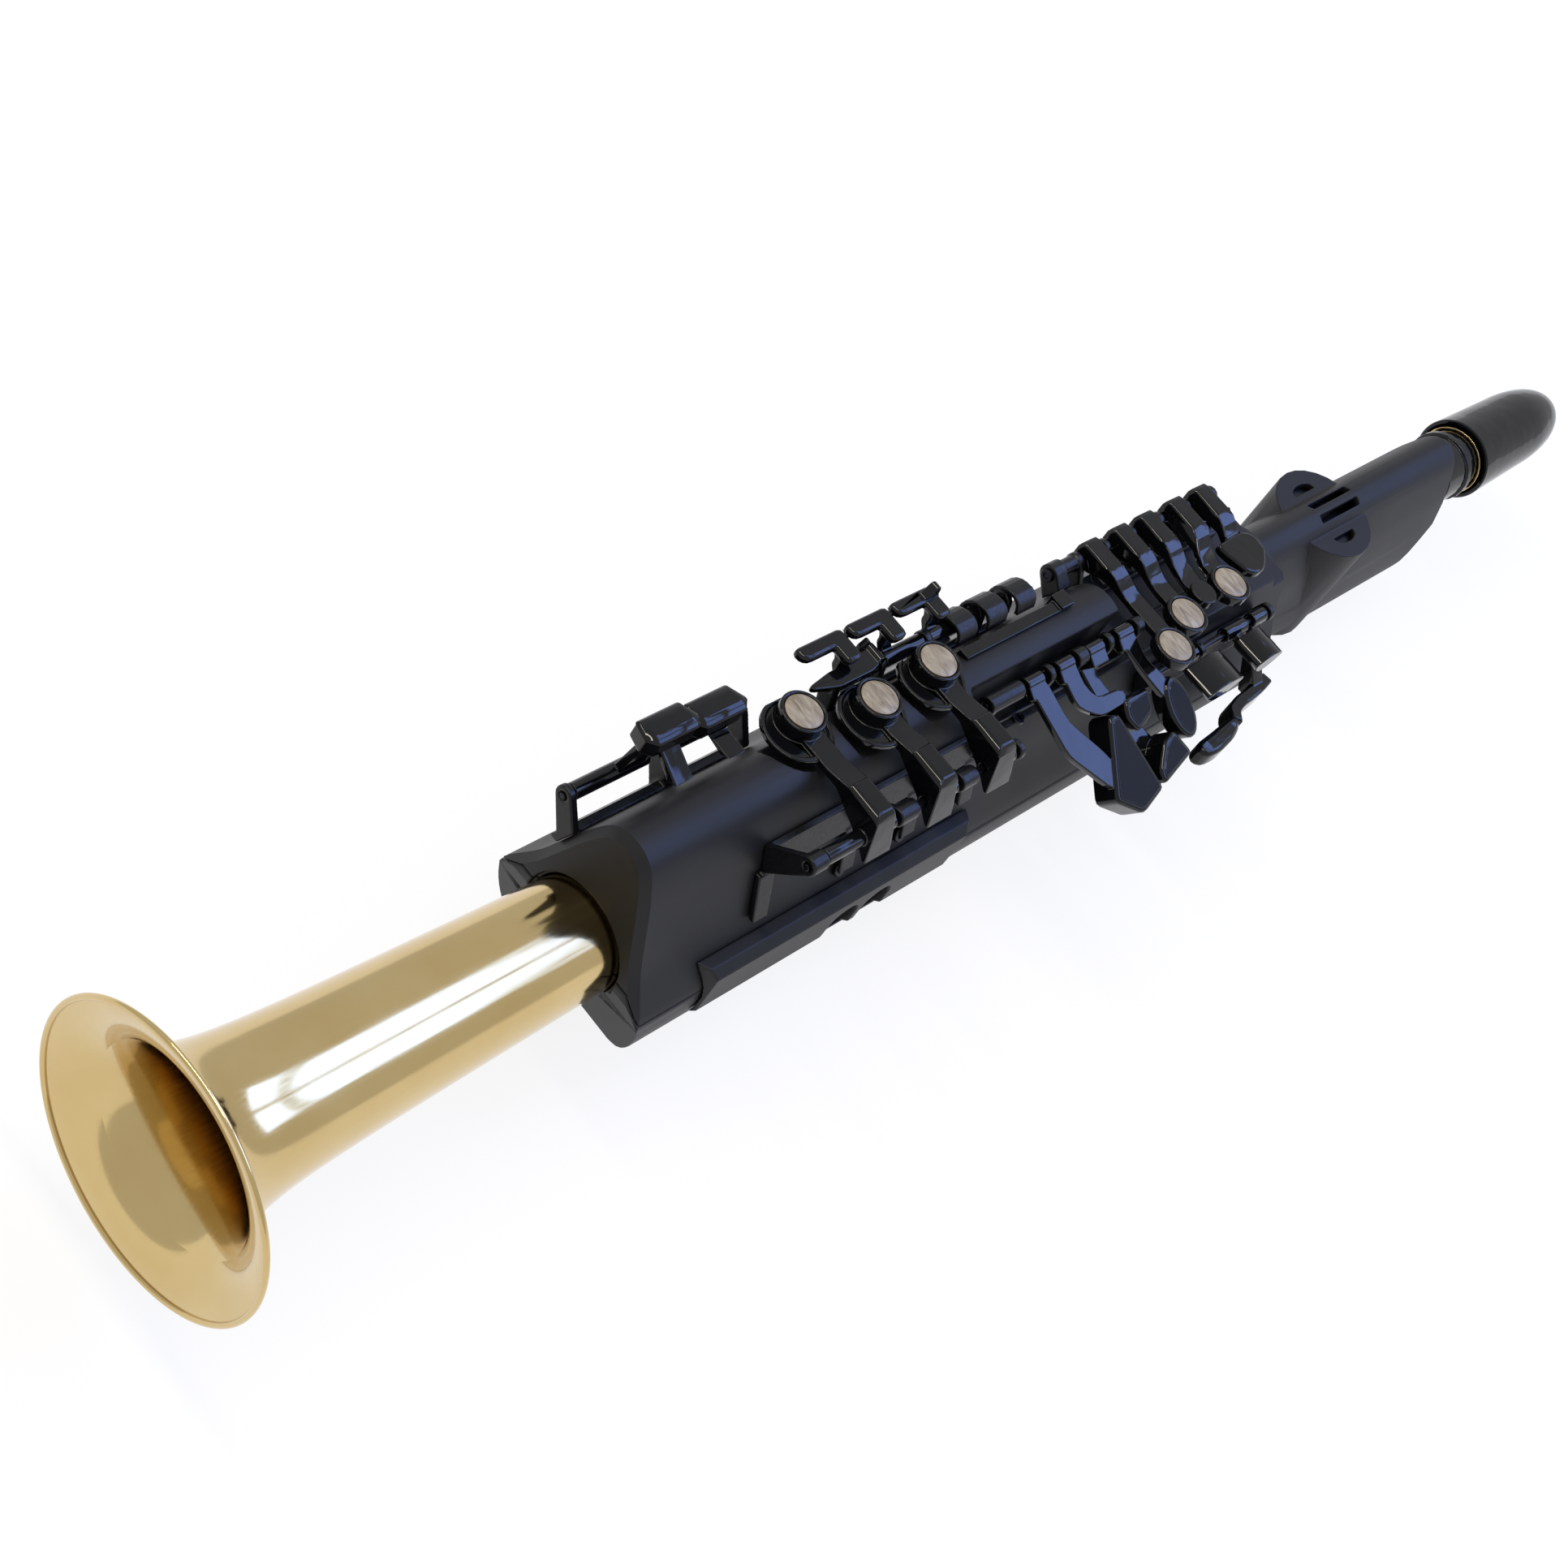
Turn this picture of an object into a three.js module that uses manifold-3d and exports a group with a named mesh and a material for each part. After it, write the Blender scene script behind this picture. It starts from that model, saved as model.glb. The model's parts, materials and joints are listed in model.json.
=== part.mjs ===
// Electronic wind instrument in the form of a straight saxophone: a brass bell, a moulded body with
// sprung keys on hinge rods, a slim neck and a capped mouthpiece.
// Millimetres. +X runs from the bell to the mouthpiece, +Z is the key side, -Y is the player's left.
// Places are measured from the centre of the bell's rim; the finished group is then moved so that
// its origin is the middle of the rest pad on the back of the body.
import * as THREE from 'three';
import { mergeVertices } from 'three/addons/utils/BufferGeometryUtils.js';
import Module from 'manifold-3d';

const wasm = await Module();
wasm.setup();

// Fits
const clearance = 0.3;
const overrun = 3;

// Facets of round pieces
const facets = { bead: 8, small: 10, barrel: 14, disc: 26, pearl: 22, tube: 40, section: 30, corner: 2 };

// Bell and the tube that it ends in
const bell = {
  rimRadius: 44.5, beadRadius: 0.9, wall: 1, throatRadius: 21.86, tubeRadius: 17.8,
  flareReach: 6.3, flareEnd: 60, tubeInside: 14.5, rimInset: 0.3,
};
const flareShares = [0, 0.006, 0.02, 0.05, 0.1, 0.18, 0.3, 0.5, 1];
const flarePower = 0.7;

// Body shells
const body = {
  start: 139.5, end: 459, top: 46, back: 31, halfWidth: 31.5, wall: 2.6,
  notchStart: 279, lowStart: 354, lowTop: 30, notchSide: 5.5, notchFloor: 27,
  seamEdge: 5.4, seamShelf: 3.4, seamHalf: 23.6, seamGap: 0.3,
  recessWidth: 1.1, recessDepth: 1.6, endSetback: 12, edge: 2.5, stepStart: 449, stepTop: 24.4,
};
// Right half of the section from the ridge down: shares of the half width, and of the top or the back
const sectionShares = [
  [0, 1], [0.11, 0.99], [0.2, 0.96], [0.27, 0.915], [0.345, 0.835], [0.45, 0.69], [0.6, 0.435],
  [0.71, 0.25], [0.84, 0.09], [0.96, -0.08], [1, -0.25], [0.99, -0.5], [0.94, -0.74], [0.85, -0.93],
  [0.72, -1],
];

// Neck housing
const neck = {
  gap: 4, length: 133.5, top: 21.2, back: 27, halfWidth: 20.5, wall: 2.4,
  drumFrom: 49, drumRadius: 20.3, drumTop: 16.4, drumBack: 31, slotsFrom: 39.6, slotLength: 25,
  slotWidth: 2.8,
  slotPitch: 5.9, slotDepth: 9, windowLength: 13, windowDepth: 3.4, windowFrom: 10.4, windowDrop: 6,
  endSlope: 20,
  collarRadius: 21, collarTop: 23.5,
};
const neckStart = body.end + neck.gap;
const neckEnd = neckStart + neck.length;
const drumX = neckStart + neck.drumFrom;
const neckShares = [
  [0, 1], [0.2, 0.94], [0.38, 0.76], [0.53, 0.45], [0.68, 0.1], [0.8, -0.25], [0.9, -0.55],
  [0.96, -0.8], [0.93, -0.94], [0.84, -1],
];

// Mouthpiece and cap
const mouth = {
  gap: 3, length: 86.5, shankRadius: 12.8, waistRadius: 12.4, tipRadius: 8.6,
  windRadius: 4.5, boreDepth: 20, ringFrom: 12.5, ringWidth: 3.2, ringRise: 0.9, beakDrop: 5.2,
  beakLength: 46,
};
const mouthStart = neckEnd + mouth.gap;
const mouthEnd = mouthStart + mouth.length;
const tenon = { inside: 8.5, endGap: 2.5, radius: 7.8, boreRadius: 4.2, flange: 9 };
const tenonStart = neckEnd - tenon.inside;
const tenonEnd = mouthStart + mouth.boreDepth - tenon.endGap;
const ligature = { from: 22, length: 18.5, wall: 0.8 };
const reed = { from: 19.5, tipGap: 4, halfWidth: 5.6, thick: 1.8, seat: 8.5 };
const reedStart = mouthStart + reed.from;
const reedEnd = mouthEnd - reed.tipGap;
const cap = {
  from: 23.5, noseGap: 12, noseLength: 36, wall: 1.7, slack: 0.7, taper: 1, steps: 6, fullness: 0.75,
};
const capRadius = mouth.waistRadius + clearance + ligature.wall + cap.slack + cap.wall;

// Hinge rods: where each runs, seen along X
const rodRadius = 1.1;
const boreRadius = rodRadius + clearance;
const hubRadius = 2.6;
const postWidth = 2.4;
const postHead = 3.1;
const palmRodIn = 8.1;
const rods = {
  right: { y: -27.5, z: 41, from: 186, to: 282 },
  low: { y: 24.7, z: 35, from: 140.4, to: 212 },
  side: { y: 14.7, z: 46, from: 231, to: 317 },
  left: { y: 17, z: 41.5, from: 342.6, to: 437 },
  table: { y: -11.4, z: 41, from: 282, to: 361 },
  palm: { y: -(body.halfWidth - palmRodIn), z: 23, from: 368, to: 441 },
};

// Keys of the main stacks
const stack = {
  discRadius: 11.3, discFrom: 46.2, discTo: 48.1, dishRim: 1.5, dishDepth: 0.8, cupRadius: 7.4,
  cupTo: 52.2, cupWall: 1.4,
  pearlRadius: 6.05, pearlRise: 0.8, pearlThick: 1.7, armWidth: 8.4, armFrom: 46.2, armTo: 48.6,
  bendY: -7.7, rootY: -16.2, rootStep: 1, rootTop: 51, rootEnd: -29.6, tailY: -33.4, tailZ: 35,
  tailThick: 1.5, tailFlare: 3, rootChamfer: 2.2, webStartY: -13, pocketMargin: 1.2, pocketFloor: 42.1,
  cupOffset: 2.1, discEdge: 11,
};
const rightKeys = {
  right_index_key: { x: 268.1, y: 4.4, arm: 268.3 },
  right_middle_key: { x: 239.4, y: 2.5, arm: 241 },
  right_ring_key: { x: 212.9, y: 9.1, arm: 213.2, sleeve: 15.6, edge: 17.6 },
};
const leftStack = {
  rootTop: 47, rootNear: 5, rootFar: 20.4, rootBottom: 38.4, armWidth: 7.4, armTop: 43.6, armThick: 2.2,
  bendEnd: -2.5, cupRadius: 7.4, cupFrom: 40.6, cupTo: 44.2, chamfer: 1.2, bend: 2.6, bisRadius: 4.8,
  scoop: 1.2,
};
const leftKeys = {
  left_ring_key: { x: 363.8, y: -24.5, root: 364.4, arm: 365.2 },
  left_middle_key: { x: 379.2, y: -17.1, root: 380.3, arm: 379.5 },
  bis_key: { x: 392.6, y: -13.4, root: 394.8, arm: 393 },
  left_index_key: { x: 406.7, y: -14.8, root: 411.4, arm: 406 },
  front_f_key: { x: 420.5, y: -9.5, root: 426.2, arm: 423 },
};

const colours = {
  brass: 0xc9a24e, matteBlack: 0x2b2c2f, glossBlack: 0x15161a, pearl: 0xb4a99a, steel: 0x8c8f94,
  rubber: 0x1b1b1c, board: 0x1f5a3a, cell: 0xb98a3a, cane: 0xd9bf86, cork: 0xa57c50,
};

// Finish of each kind of surface
function finish(colour, roughness, metalness) {
  return () => new THREE.MeshStandardMaterial({ color: colour, roughness, metalness });
}
const brassFinish = finish(colours.brass, 0.18, 1);
const matteFinish = finish(colours.matteBlack, 0.55, 0);
const glossFinish = finish(colours.glossBlack, 0.12, 0);
const pearlFinish = finish(colours.pearl, 0.25, 0);
const steelFinish = finish(colours.steel, 0.3, 1);
const rubberFinish = finish(colours.rubber, 0.8, 0);
const boardFinish = finish(colours.board, 0.5, 0);
const cellFinish = finish(colours.cell, 0.35, 0.6);
const caneFinish = finish(colours.cane, 0.7, 0);
const corkFinish = finish(colours.cork, 0.9, 0);

// Solid of manifold-3d from a closed geometry
function toSolid(geometry) {
  const bare = geometry.clone();
  bare.deleteAttribute('normal');
  bare.deleteAttribute('uv');
  const merged = mergeVertices(bare);
  return new wasm.Manifold(new wasm.Mesh({
    numProp: 3,
    vertProperties: new Float32Array(merged.attributes.position.array),
    triVerts: new Uint32Array(merged.index.array),
  }));
}

function toGeometry(solid) {
  const mesh = solid.getMesh();
  const geometry = new THREE.BufferGeometry();
  geometry.setAttribute('position', new THREE.BufferAttribute(new Float32Array(mesh.vertProperties), 3));
  geometry.setIndex(new THREE.BufferAttribute(new Uint32Array(mesh.triVerts), 1));
  geometry.computeVertexNormals();
  return geometry;
}

function join(...geometries) {
  return toGeometry(geometries.map(toSolid).reduce((sum, next) => sum.add(next)));
}

function cut(geometry, ...tools) {
  return toGeometry(tools.map(toSolid).reduce((rest, tool) => rest.subtract(tool), toSolid(geometry)));
}

function common(geometry, other) {
  return toGeometry(toSolid(geometry).intersect(toSolid(other)));
}

const axisX = new THREE.Vector3(1, 0, 0);
const axisY = new THREE.Vector3(0, 1, 0);
const axisZ = new THREE.Vector3(0, 0, 1);

function shapeOf(points) {
  return new THREE.Shape(points.map(([u, v]) => new THREE.Vector2(u, v)));
}

// Settings of an extrusion whose edges are broken by a bevel, if one is given
function depthSettings(depth, bevel) {
  if (bevel === 0) return { depth, bevelEnabled: false };
  const edges = { bevelThickness: bevel, bevelSize: bevel, bevelOffset: -bevel, bevelSegments: 1 };
  return { depth: depth - 2 * bevel, bevelEnabled: true, ...edges };
}

// Outline given as [y, z], run along X
function alongX(points, from, to, bevel = 0) {
  const geometry = new THREE.ExtrudeGeometry(shapeOf(points), depthSettings(to - from, bevel));
  geometry.applyMatrix4(new THREE.Matrix4().makeBasis(axisY, axisZ, axisX));
  return geometry.translate(from + bevel, 0, 0);
}

// Outline given as [x, z], run along Y
function alongY(points, from, to) {
  const geometry = new THREE.ExtrudeGeometry(shapeOf(points), { depth: to - from, bevelEnabled: false });
  geometry.applyMatrix4(new THREE.Matrix4().makeBasis(axisX, axisZ, axisY.clone().negate()));
  return geometry.translate(0, to, 0);
}

// Outline given as [x, y], raised along Z
function alongZ(points, from, to, bevel = 0) {
  const geometry = new THREE.ExtrudeGeometry(shapeOf(points), depthSettings(to - from, bevel));
  return geometry.translate(0, 0, from + bevel);
}

function barX(radius, from, to, y, z, sides = facets.barrel) {
  const geometry = new THREE.CylinderGeometry(radius, radius, to - from, sides);
  return geometry.rotateZ(-Math.PI / 2).translate((from + to) / 2, y, z);
}

function barY(radius, from, to, x, z, sides = facets.barrel) {
  return new THREE.CylinderGeometry(radius, radius, to - from, sides).translate(x, (from + to) / 2, z);
}

function barZ(radius, from, to, x, y, sides = facets.disc) {
  const geometry = new THREE.CylinderGeometry(radius, radius, to - from, sides);
  return geometry.rotateX(Math.PI / 2).translate(x, y, (from + to) / 2);
}

function box(x0, x1, y0, y1, z0, z1) {
  const geometry = new THREE.BoxGeometry(x1 - x0, y1 - y0, z1 - z0);
  return geometry.translate((x0 + x1) / 2, (y0 + y1) / 2, (z0 + z1) / 2);
}

// Solid of revolution about the X axis from [x, radius] points; the profile closes on itself
function turned(profile, sides = facets.tube) {
  const points = profile.map(([x, radius]) => new THREE.Vector2(radius, x));
  points.push(points[0].clone());
  return new THREE.LatheGeometry(points, sides).rotateZ(-Math.PI / 2).rotateX(Math.PI / 2);
}

// Points of an arc about a centre, angles in turns
function arc(cx, cy, radius, start, end, steps) {
  return Array.from({ length: steps + 1 }, (_, i) => {
    const angle = 2 * Math.PI * (start + (end - start) * i / steps);
    return [cx + radius * Math.cos(angle), cy + radius * Math.sin(angle)];
  });
}

// Closed outline moved inwards by a distance, outwards where the distance is negative
function inset(points, distance) {
  const count = points.length;
  const turn = Math.sign(THREE.ShapeUtils.area(points.map(([x, y]) => new THREE.Vector2(x, y))));
  return points.map(([x, y], i) => {
    const before = points[(i + count - 1) % count];
    const after = points[(i + 1) % count];
    const a = new THREE.Vector2(x - before[0], y - before[1]).normalize();
    const b = new THREE.Vector2(after[0] - x, after[1] - y).normalize();
    const normal = new THREE.Vector2(-(a.y + b.y), a.x + b.x).normalize();
    const reach = distance * turn / Math.max(0.5, normal.dot(new THREE.Vector2(-a.y, a.x)));
    return [x + normal.x * reach, y + normal.y * reach];
  });
}

// Closed outline with each corner turned into a short curve that starts a distance before it
const longestLeadShare = 0.45;
function rounded(points, lead) {
  const corners = points.map(([u, v]) => new THREE.Vector2(u, v));
  return corners.flatMap((corner, i) => {
    const towards = (other) => {
      const way = other.clone().sub(corner);
      return corner.clone().addScaledVector(way, Math.min(lead / way.length(), longestLeadShare));
    };
    const before = towards(corners[(i + corners.length - 1) % corners.length]);
    const after = towards(corners[(i + 1) % corners.length]);
    const curve = new THREE.QuadraticBezierCurve(before, corner, after);
    return curve.getPoints(facets.corner).map((p) => [p.x, p.y]);
  });
}

// Closed outline of a band of even width along a smooth line
function band(points, width, steps) {
  const line = new THREE.SplineCurve(points.map(([u, v]) => new THREE.Vector2(u, v)));
  const near = line.getPoints(steps).map((p) => [p.x, p.y]);
  const far = near.map(([u, v], i) => {
    const way = line.getTangent(i / steps);
    return [u - way.y * width, v + way.x * width];
  });
  return [...near, ...far.reverse()];
}

// Closed outline of a section from the shares of its right half
function sectionOf(shares, halfWidth, top, back, steps) {
  const corners = shares.map(([u, v]) => new THREE.Vector2(u * halfWidth, v * (v > 0 ? top : back)));
  const right = new THREE.SplineCurve(corners).getPoints(steps).map((p) => [p.x, p.y]);
  const left = right.slice(1).reverse().map(([y, z]) => [-y, z]);
  return [...right, ...left];
}

// Half width of an outline at a height
function halfWidthAt(outline, height) {
  const right = outline.filter(([y]) => y >= 0);
  for (let i = 1; i < right.length; i += 1) {
    const [y0, z0] = right[i - 1];
    const [y1, z1] = right[i];
    if ((z0 - height) * (z1 - height) <= 0 && z0 !== z1) {
      return y0 + (y1 - y0) * (height - z0) / (z1 - z0);
    }
  }
  return 0;
}

// Outline of a lug: a round head with straight sides down to two foot points
function lug([cx, cy], radius, footA, footB, steps = facets.small) {
  const tangent = ([x, y], side) => {
    const away = Math.hypot(x - cx, y - cy);
    return Math.atan2(y - cy, x - cx) + side * Math.acos(Math.min(1, radius / away));
  };
  let start = tangent(footA, 1);
  let end = tangent(footB, -1);
  while (end < start) end += 2 * Math.PI;
  const turns = 2 * Math.PI;
  return [footA, ...arc(cx, cy, radius, start / turns, end / turns, steps), footB];
}

const instrument = new THREE.Group();

// Named mesh of the instrument
function add(name, geometry, material) {
  const mesh = new THREE.Mesh(geometry, material());
  mesh.name = name;
  instrument.add(mesh);
  return mesh;
}

// Outlines of body and neck
const bodySection = sectionOf(sectionShares, body.halfWidth, body.top, body.back, facets.section);
const neckSection = sectionOf(neckShares, neck.halfWidth, neck.top, neck.back, facets.section / 2);
const sideAt = (height) => halfWidthAt(bodySection, height) + clearance;

// Bell: an outer curve, the same curve inside by the wall, and a rolled rim
function bellRadius(x) {
  const taper = (bell.throatRadius - bell.tubeRadius) / body.start;
  const flare = bell.rimRadius - bell.beadRadius - bell.throatRadius;
  const straight = Math.max(bell.tubeRadius, bell.throatRadius - taper * x);
  return straight + flare * Math.exp(-((x / bell.flareReach) ** flarePower));
}

function makeBell() {
  const stations = flareShares.map((share) => share * bell.flareEnd);
  stations.push(body.start, body.start + bell.tubeInside);
  const outer = stations.map((x) => [x + bell.rimInset, bellRadius(x)]);
  const inner = stations.map((x, i) => {
    const next = stations[Math.min(i + 1, stations.length - 1)];
    const last = stations[Math.max(i - 1, 0)];
    const slope = (bellRadius(next) - bellRadius(last)) / (next - last);
    const share = bell.wall / Math.hypot(1, slope);
    return [x + bell.rimInset + slope * share, bellRadius(x) - share];
  });
  const skin = turned([...outer, ...inner.reverse()]);
  const bead = new THREE.TorusGeometry(bell.rimRadius - bell.beadRadius, bell.beadRadius, facets.bead,
    facets.tube);
  bead.rotateY(Math.PI / 2).rotateX(Math.PI / facets.tube);
  add('bell', join(skin, bead), brassFinish);
}

// Body: one outer form and one inner form, cut into a front shell and a back cover along the seam
function bodyRecesses(grow) {
  const far = body.halfWidth + overrun;
  const high = body.top + overrun;
  const tools = [
    box(body.notchStart - grow, body.end + overrun, -far, -body.notchSide + grow, body.notchFloor - grow,
      high),
    box(body.lowStart - grow, body.end + overrun, -far, far, body.lowTop - grow, high),
    box(body.stepStart - grow, body.end + overrun, -far, far, body.stepTop - grow, high),
  ];
  for (const key of Object.values(rightKeys)) {
    const radius = stack.discRadius + stack.pocketMargin + grow;
    const [x, y] = [key.x - stack.cupOffset, key.y - stack.cupOffset];
    tools.push(barZ(radius, stack.pocketFloor - grow, high, x, y));
  }
  return tools;
}

function seamTool(above) {
  const far = body.halfWidth + overrun;
  const offset = above ? body.seamGap / 2 : -body.seamGap / 2;
  const limit = above ? body.top + overrun : -body.back - overrun;
  const line = [
    [-far, -body.seamEdge], [-body.halfWidth, -body.seamEdge], [-body.seamHalf, body.seamShelf],
    [body.seamHalf, body.seamShelf], [body.halfWidth, -body.seamEdge], [far, -body.seamEdge],
  ].map(([y, z]) => [y, z + offset]);
  return alongX([...line, [far, limit], [-far, limit]], body.start - overrun, body.end + overrun);
}

const batteryCover = {
  fromStart: 18.5, length: 106, halfWidth: 16, depth: 2.2, wall: 1.6, gripPitch: 3, gripWidth: 1.6,
};
const coverStart = body.start + batteryCover.fromStart;
const coverEnd = coverStart + batteryCover.length;
const cell = { radius: 7.1, endGap: 2.5, middle: -21, overlap: 0.2, strap: 6 };
const cellLength = batteryCover.length / 2 - cell.endGap;
const button = { toEnd: 113, radius: 3.4, rise: 1.4, plate: 1.6 };
const buttonX = body.end - button.toEnd;
const restPad = { toEnd: 128, halfLength: 7, halfWidth: 14, proud: 0.6 };
const padX = body.end - restPad.toEnd;
const floorTop = -body.back + body.wall;

function makeBody() {
  const outer = alongX(bodySection, body.start, body.end, body.edge);
  const inner = alongX(inset(bodySection, body.wall), body.start + body.wall, body.end - body.wall);
  const hollow = cut(inner, ...bodyRecesses(body.wall), endSetback(body.wall));
  const holeRadius = bellRadius(body.start) + clearance;
  const bellHole = barX(holeRadius, body.start - overrun, body.start + body.endSetback, 0, 0, facets.tube);
  const bellRecess = barX(
    holeRadius + body.recessWidth, body.start - overrun, body.start + body.recessDepth, 0, 0, facets.tube);
  const neckHole = barX(tenon.radius, body.end - body.wall - overrun, body.end + overrun, 0, 0);
  const shell = cut(outer, ...bodyRecesses(0), endSetback(0), hollow, bellHole, bellRecess, neckHole,
    socketWell(clearance));
  add('front_shell', common(shell, seamTool(true)), matteFinish);

  const b = batteryCover;
  const bayTop = cell.middle + cell.radius + clearance;
  const bayOuter = box(coverStart - b.wall, coverEnd + b.wall, -b.halfWidth - b.wall, b.halfWidth + b.wall,
    floorTop - body.wall / 2, bayTop + b.wall);
  const bayInner = box(coverStart, coverEnd, -b.halfWidth, b.halfWidth, -body.back - overrun, bayTop);
  const buttonHole = barZ(button.radius + clearance, -body.back - overrun, floorTop + overrun, buttonX,
    0, facets.barrel);
  const lower = common(shell, seamTool(false));
  const pad = box(padX - restPad.halfLength, padX + restPad.halfLength, -restPad.halfWidth,
    restPad.halfWidth,
    -body.back - restPad.proud, -body.back + body.wall / 2);
  add('back_cover', cut(join(lower, pad, bayOuter, ...boardPillars()), bayInner, buttonHole), matteFinish);
}

// Wedge that sets the lower part of the bell end back, moved along by the wall for the inside
function endSetback(shift) {
  const low = -body.back - overrun;
  return alongY([
    [body.start - overrun, 0], [body.start + shift, 0], [body.start + shift + body.endSetback, low],
    [body.start - overrun, low],
  ], -body.halfWidth - overrun, body.halfWidth + overrun);
}

// Board on pillars above the floor of the back cover
const board = { fromStart: 50.5, toEnd: 13, halfWidth: 15, under: -2, thick: 1.6, pillar: 2.4, inset: 12 };
const boardStart = body.start + board.fromStart;
const boardEnd = body.end - board.toEnd;

function pillarPlaces() {
  const xs = [coverEnd + board.inset, (coverEnd + boardEnd) / 2, boardEnd - board.inset];
  return xs.flatMap((x) => [-1, 1].map((side) => [x, side * (board.halfWidth - board.pillar)]));
}

function boardPillars() {
  return pillarPlaces().map(([x, y]) => barZ(
    board.pillar, floorTop - body.wall / 2, board.under - clearance, x, y, facets.small));
}

function makeInside() {
  const plate = box(boardStart, boardEnd, -board.halfWidth, board.halfWidth, board.under,
    board.under + board.thick);
  const chip = { long: 14, wide: 10, high: 1.8 };
  const chips = [0.35, 0.6, 0.85].map((share) => {
    const x = boardStart + share * (boardEnd - boardStart);
    const base = board.under + board.thick - clearance;
    return box(x, x + chip.long, -chip.wide / 2, chip.wide / 2, base, base + chip.high);
  });
  add('main_board', join(plate, ...chips), boardFinish);

  const midX = (coverStart + coverEnd) / 2;
  const rows = [-1, 1].map((row) => barX(
    cell.radius, midX - cellLength, midX + cellLength, row * (cell.radius - cell.overlap), cell.middle));
  const band = barX(cell.radius - cell.overlap, midX - cell.strap / 2, midX + cell.strap / 2, 0,
    cell.middle);
  add('battery_pack', join(...rows, band), cellFinish);

  const lid = box(coverStart + clearance, coverEnd - clearance,
    -batteryCover.halfWidth + clearance, batteryCover.halfWidth - clearance, -body.back,
    -body.back + batteryCover.depth);
  const grips = [0, 1, 2].map((i) => {
    const start = coverEnd - batteryCover.halfWidth + i * batteryCover.gripPitch;
    return box(start, start + batteryCover.gripWidth, -batteryCover.halfWidth / 2,
      batteryCover.halfWidth / 2,
      -body.back - overrun, -body.back + batteryCover.gripWidth / 2);
  });
  add('battery_cover', cut(lid, ...grips), matteFinish);
}

// Well of the sockets: the part of the socket block that stands in a window of the body
function socketWell(grow) {
  const s = sockets;
  const [first, last] = [s.at[0] - s.archHalf - s.wellWall, s.at.at(-1) + s.archHalf + s.wellWall];
  return box(first - grow, last + grow, socketOuter - grow, socketOuter + s.depth + s.wellWall + grow,
    s.bottom - grow, s.archTop + s.wellWall + grow);
}

// Socket block on the player's left, fitted to the side of the body, with two arched recesses
const sockets = {
  from: 160, to: 288, inside: 11.5, proud: 1.5, top: 5.5, bottom: -17, chamfer: 3, endSlope: 10,
  at: [228, 243], archHalf: 6, archTop: -2, depth: 6, barrel: 4, rise: 3, bore: 1.6, wellWall: 2,
};
const socketInner = -(body.halfWidth - sockets.inside);
const socketOuter = -(body.halfWidth + sockets.proud);

function makeSocketBlock() {
  const section = [
    [socketInner, sockets.top], [socketOuter + sockets.chamfer, sockets.top],
    [socketOuter, sockets.top - sockets.chamfer], [socketOuter, sockets.bottom + sockets.chamfer],
    [socketOuter + sockets.chamfer, sockets.bottom], [socketInner, sockets.bottom],
  ];
  const blank = alongX(section, sockets.from, sockets.to);
  const sideForm = alongX(inset(bodySection, -clearance), sockets.from - overrun, sockets.to + overrun);
  const bodyForm = cut(sideForm, socketWell(0));
  const far = socketOuter - overrun;
  const nose = alongZ([
    [sockets.from - overrun, far], [sockets.from + sockets.endSlope, far], [sockets.from, socketInner],
    [sockets.from - overrun, socketInner],
  ], sockets.bottom - overrun, sockets.top + overrun);
  const tail = alongZ([
    [sockets.to + overrun, far], [sockets.to - sockets.endSlope, far], [sockets.to, socketInner],
    [sockets.to + overrun, socketInner],
  ], sockets.bottom - overrun, sockets.top + overrun);
  const arches = sockets.at.map((x) => alongY([
    ...arc(x, sockets.archTop - sockets.archHalf, sockets.archHalf, 0, 0.5, facets.small),
    [x - sockets.archHalf, sockets.bottom - overrun], [x + sockets.archHalf, sockets.bottom - overrun],
  ], far, socketOuter + sockets.depth));
  const barrelZ = sockets.archTop - sockets.archHalf;
  const seat = socketOuter + sockets.depth;
  const barrels = sockets.at.map((x) => barY(sockets.barrel, seat - sockets.rise, seat + clearance, x,
    barrelZ));
  const bores = sockets.at.map((x) => barY(sockets.bore, seat - sockets.rise - overrun, seat + clearance,
    x, barrelZ));
  const block = cut(blank, bodyForm, nose, tail, ...arches);
  add('socket_block', cut(join(block, ...barrels), ...bores), matteFinish);
}

// Flat strip beside the ridge of the body, with a raised block at its end
const strip = {
  from: 284, to: 331, inner: 2.6, outer: 6.6, proud: 0.9, blockLong: 6, blockInner: 2.6, blockOuter: 8.2,
  blockRise: 1,
};

function makeStrip() {
  const top = body.top + strip.proud;
  const end = strip.to + strip.blockLong;
  const seat = alongX(inset(bodySection, -clearance), strip.from - overrun, end + overrun);
  const flat = box(strip.from, strip.to, strip.inner, strip.outer, body.top / 2, top);
  const block = box(strip.to - clearance, end, strip.blockInner, strip.blockOuter, body.top / 2,
    top + strip.blockRise);
  add('ridge_strip', cut(join(flat, block), seat), glossFinish);
}

// Post of a hinge frame: a lug round the rod with its foot on the body, and a barrel if it is given one
function post(rod, x, footA, footB, barrel = 0) {
  const plate = alongX(lug([rod.y, rod.z], postHead, footA, footB), x, x + postWidth);
  return barrel > 0 ? join(plate, barX(postHead, x, x + postWidth + barrel, rod.y, rod.z)) : plate;
}

function rodHole(rod) {
  return barX(boreRadius, rod.from - overrun, rod.to + overrun, rod.y, rod.z);
}

// Rail of a frame laid on the slanting side of the body between two heights
function sideRail(side, [high, low], thick, from, to) {
  const [a, b] = [sideAt(high), sideAt(low)];
  return alongX([[side * a, high], [side * b, low], [side * (b + thick), low],
    [side * (a + thick), high]], from, to);
}

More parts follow.
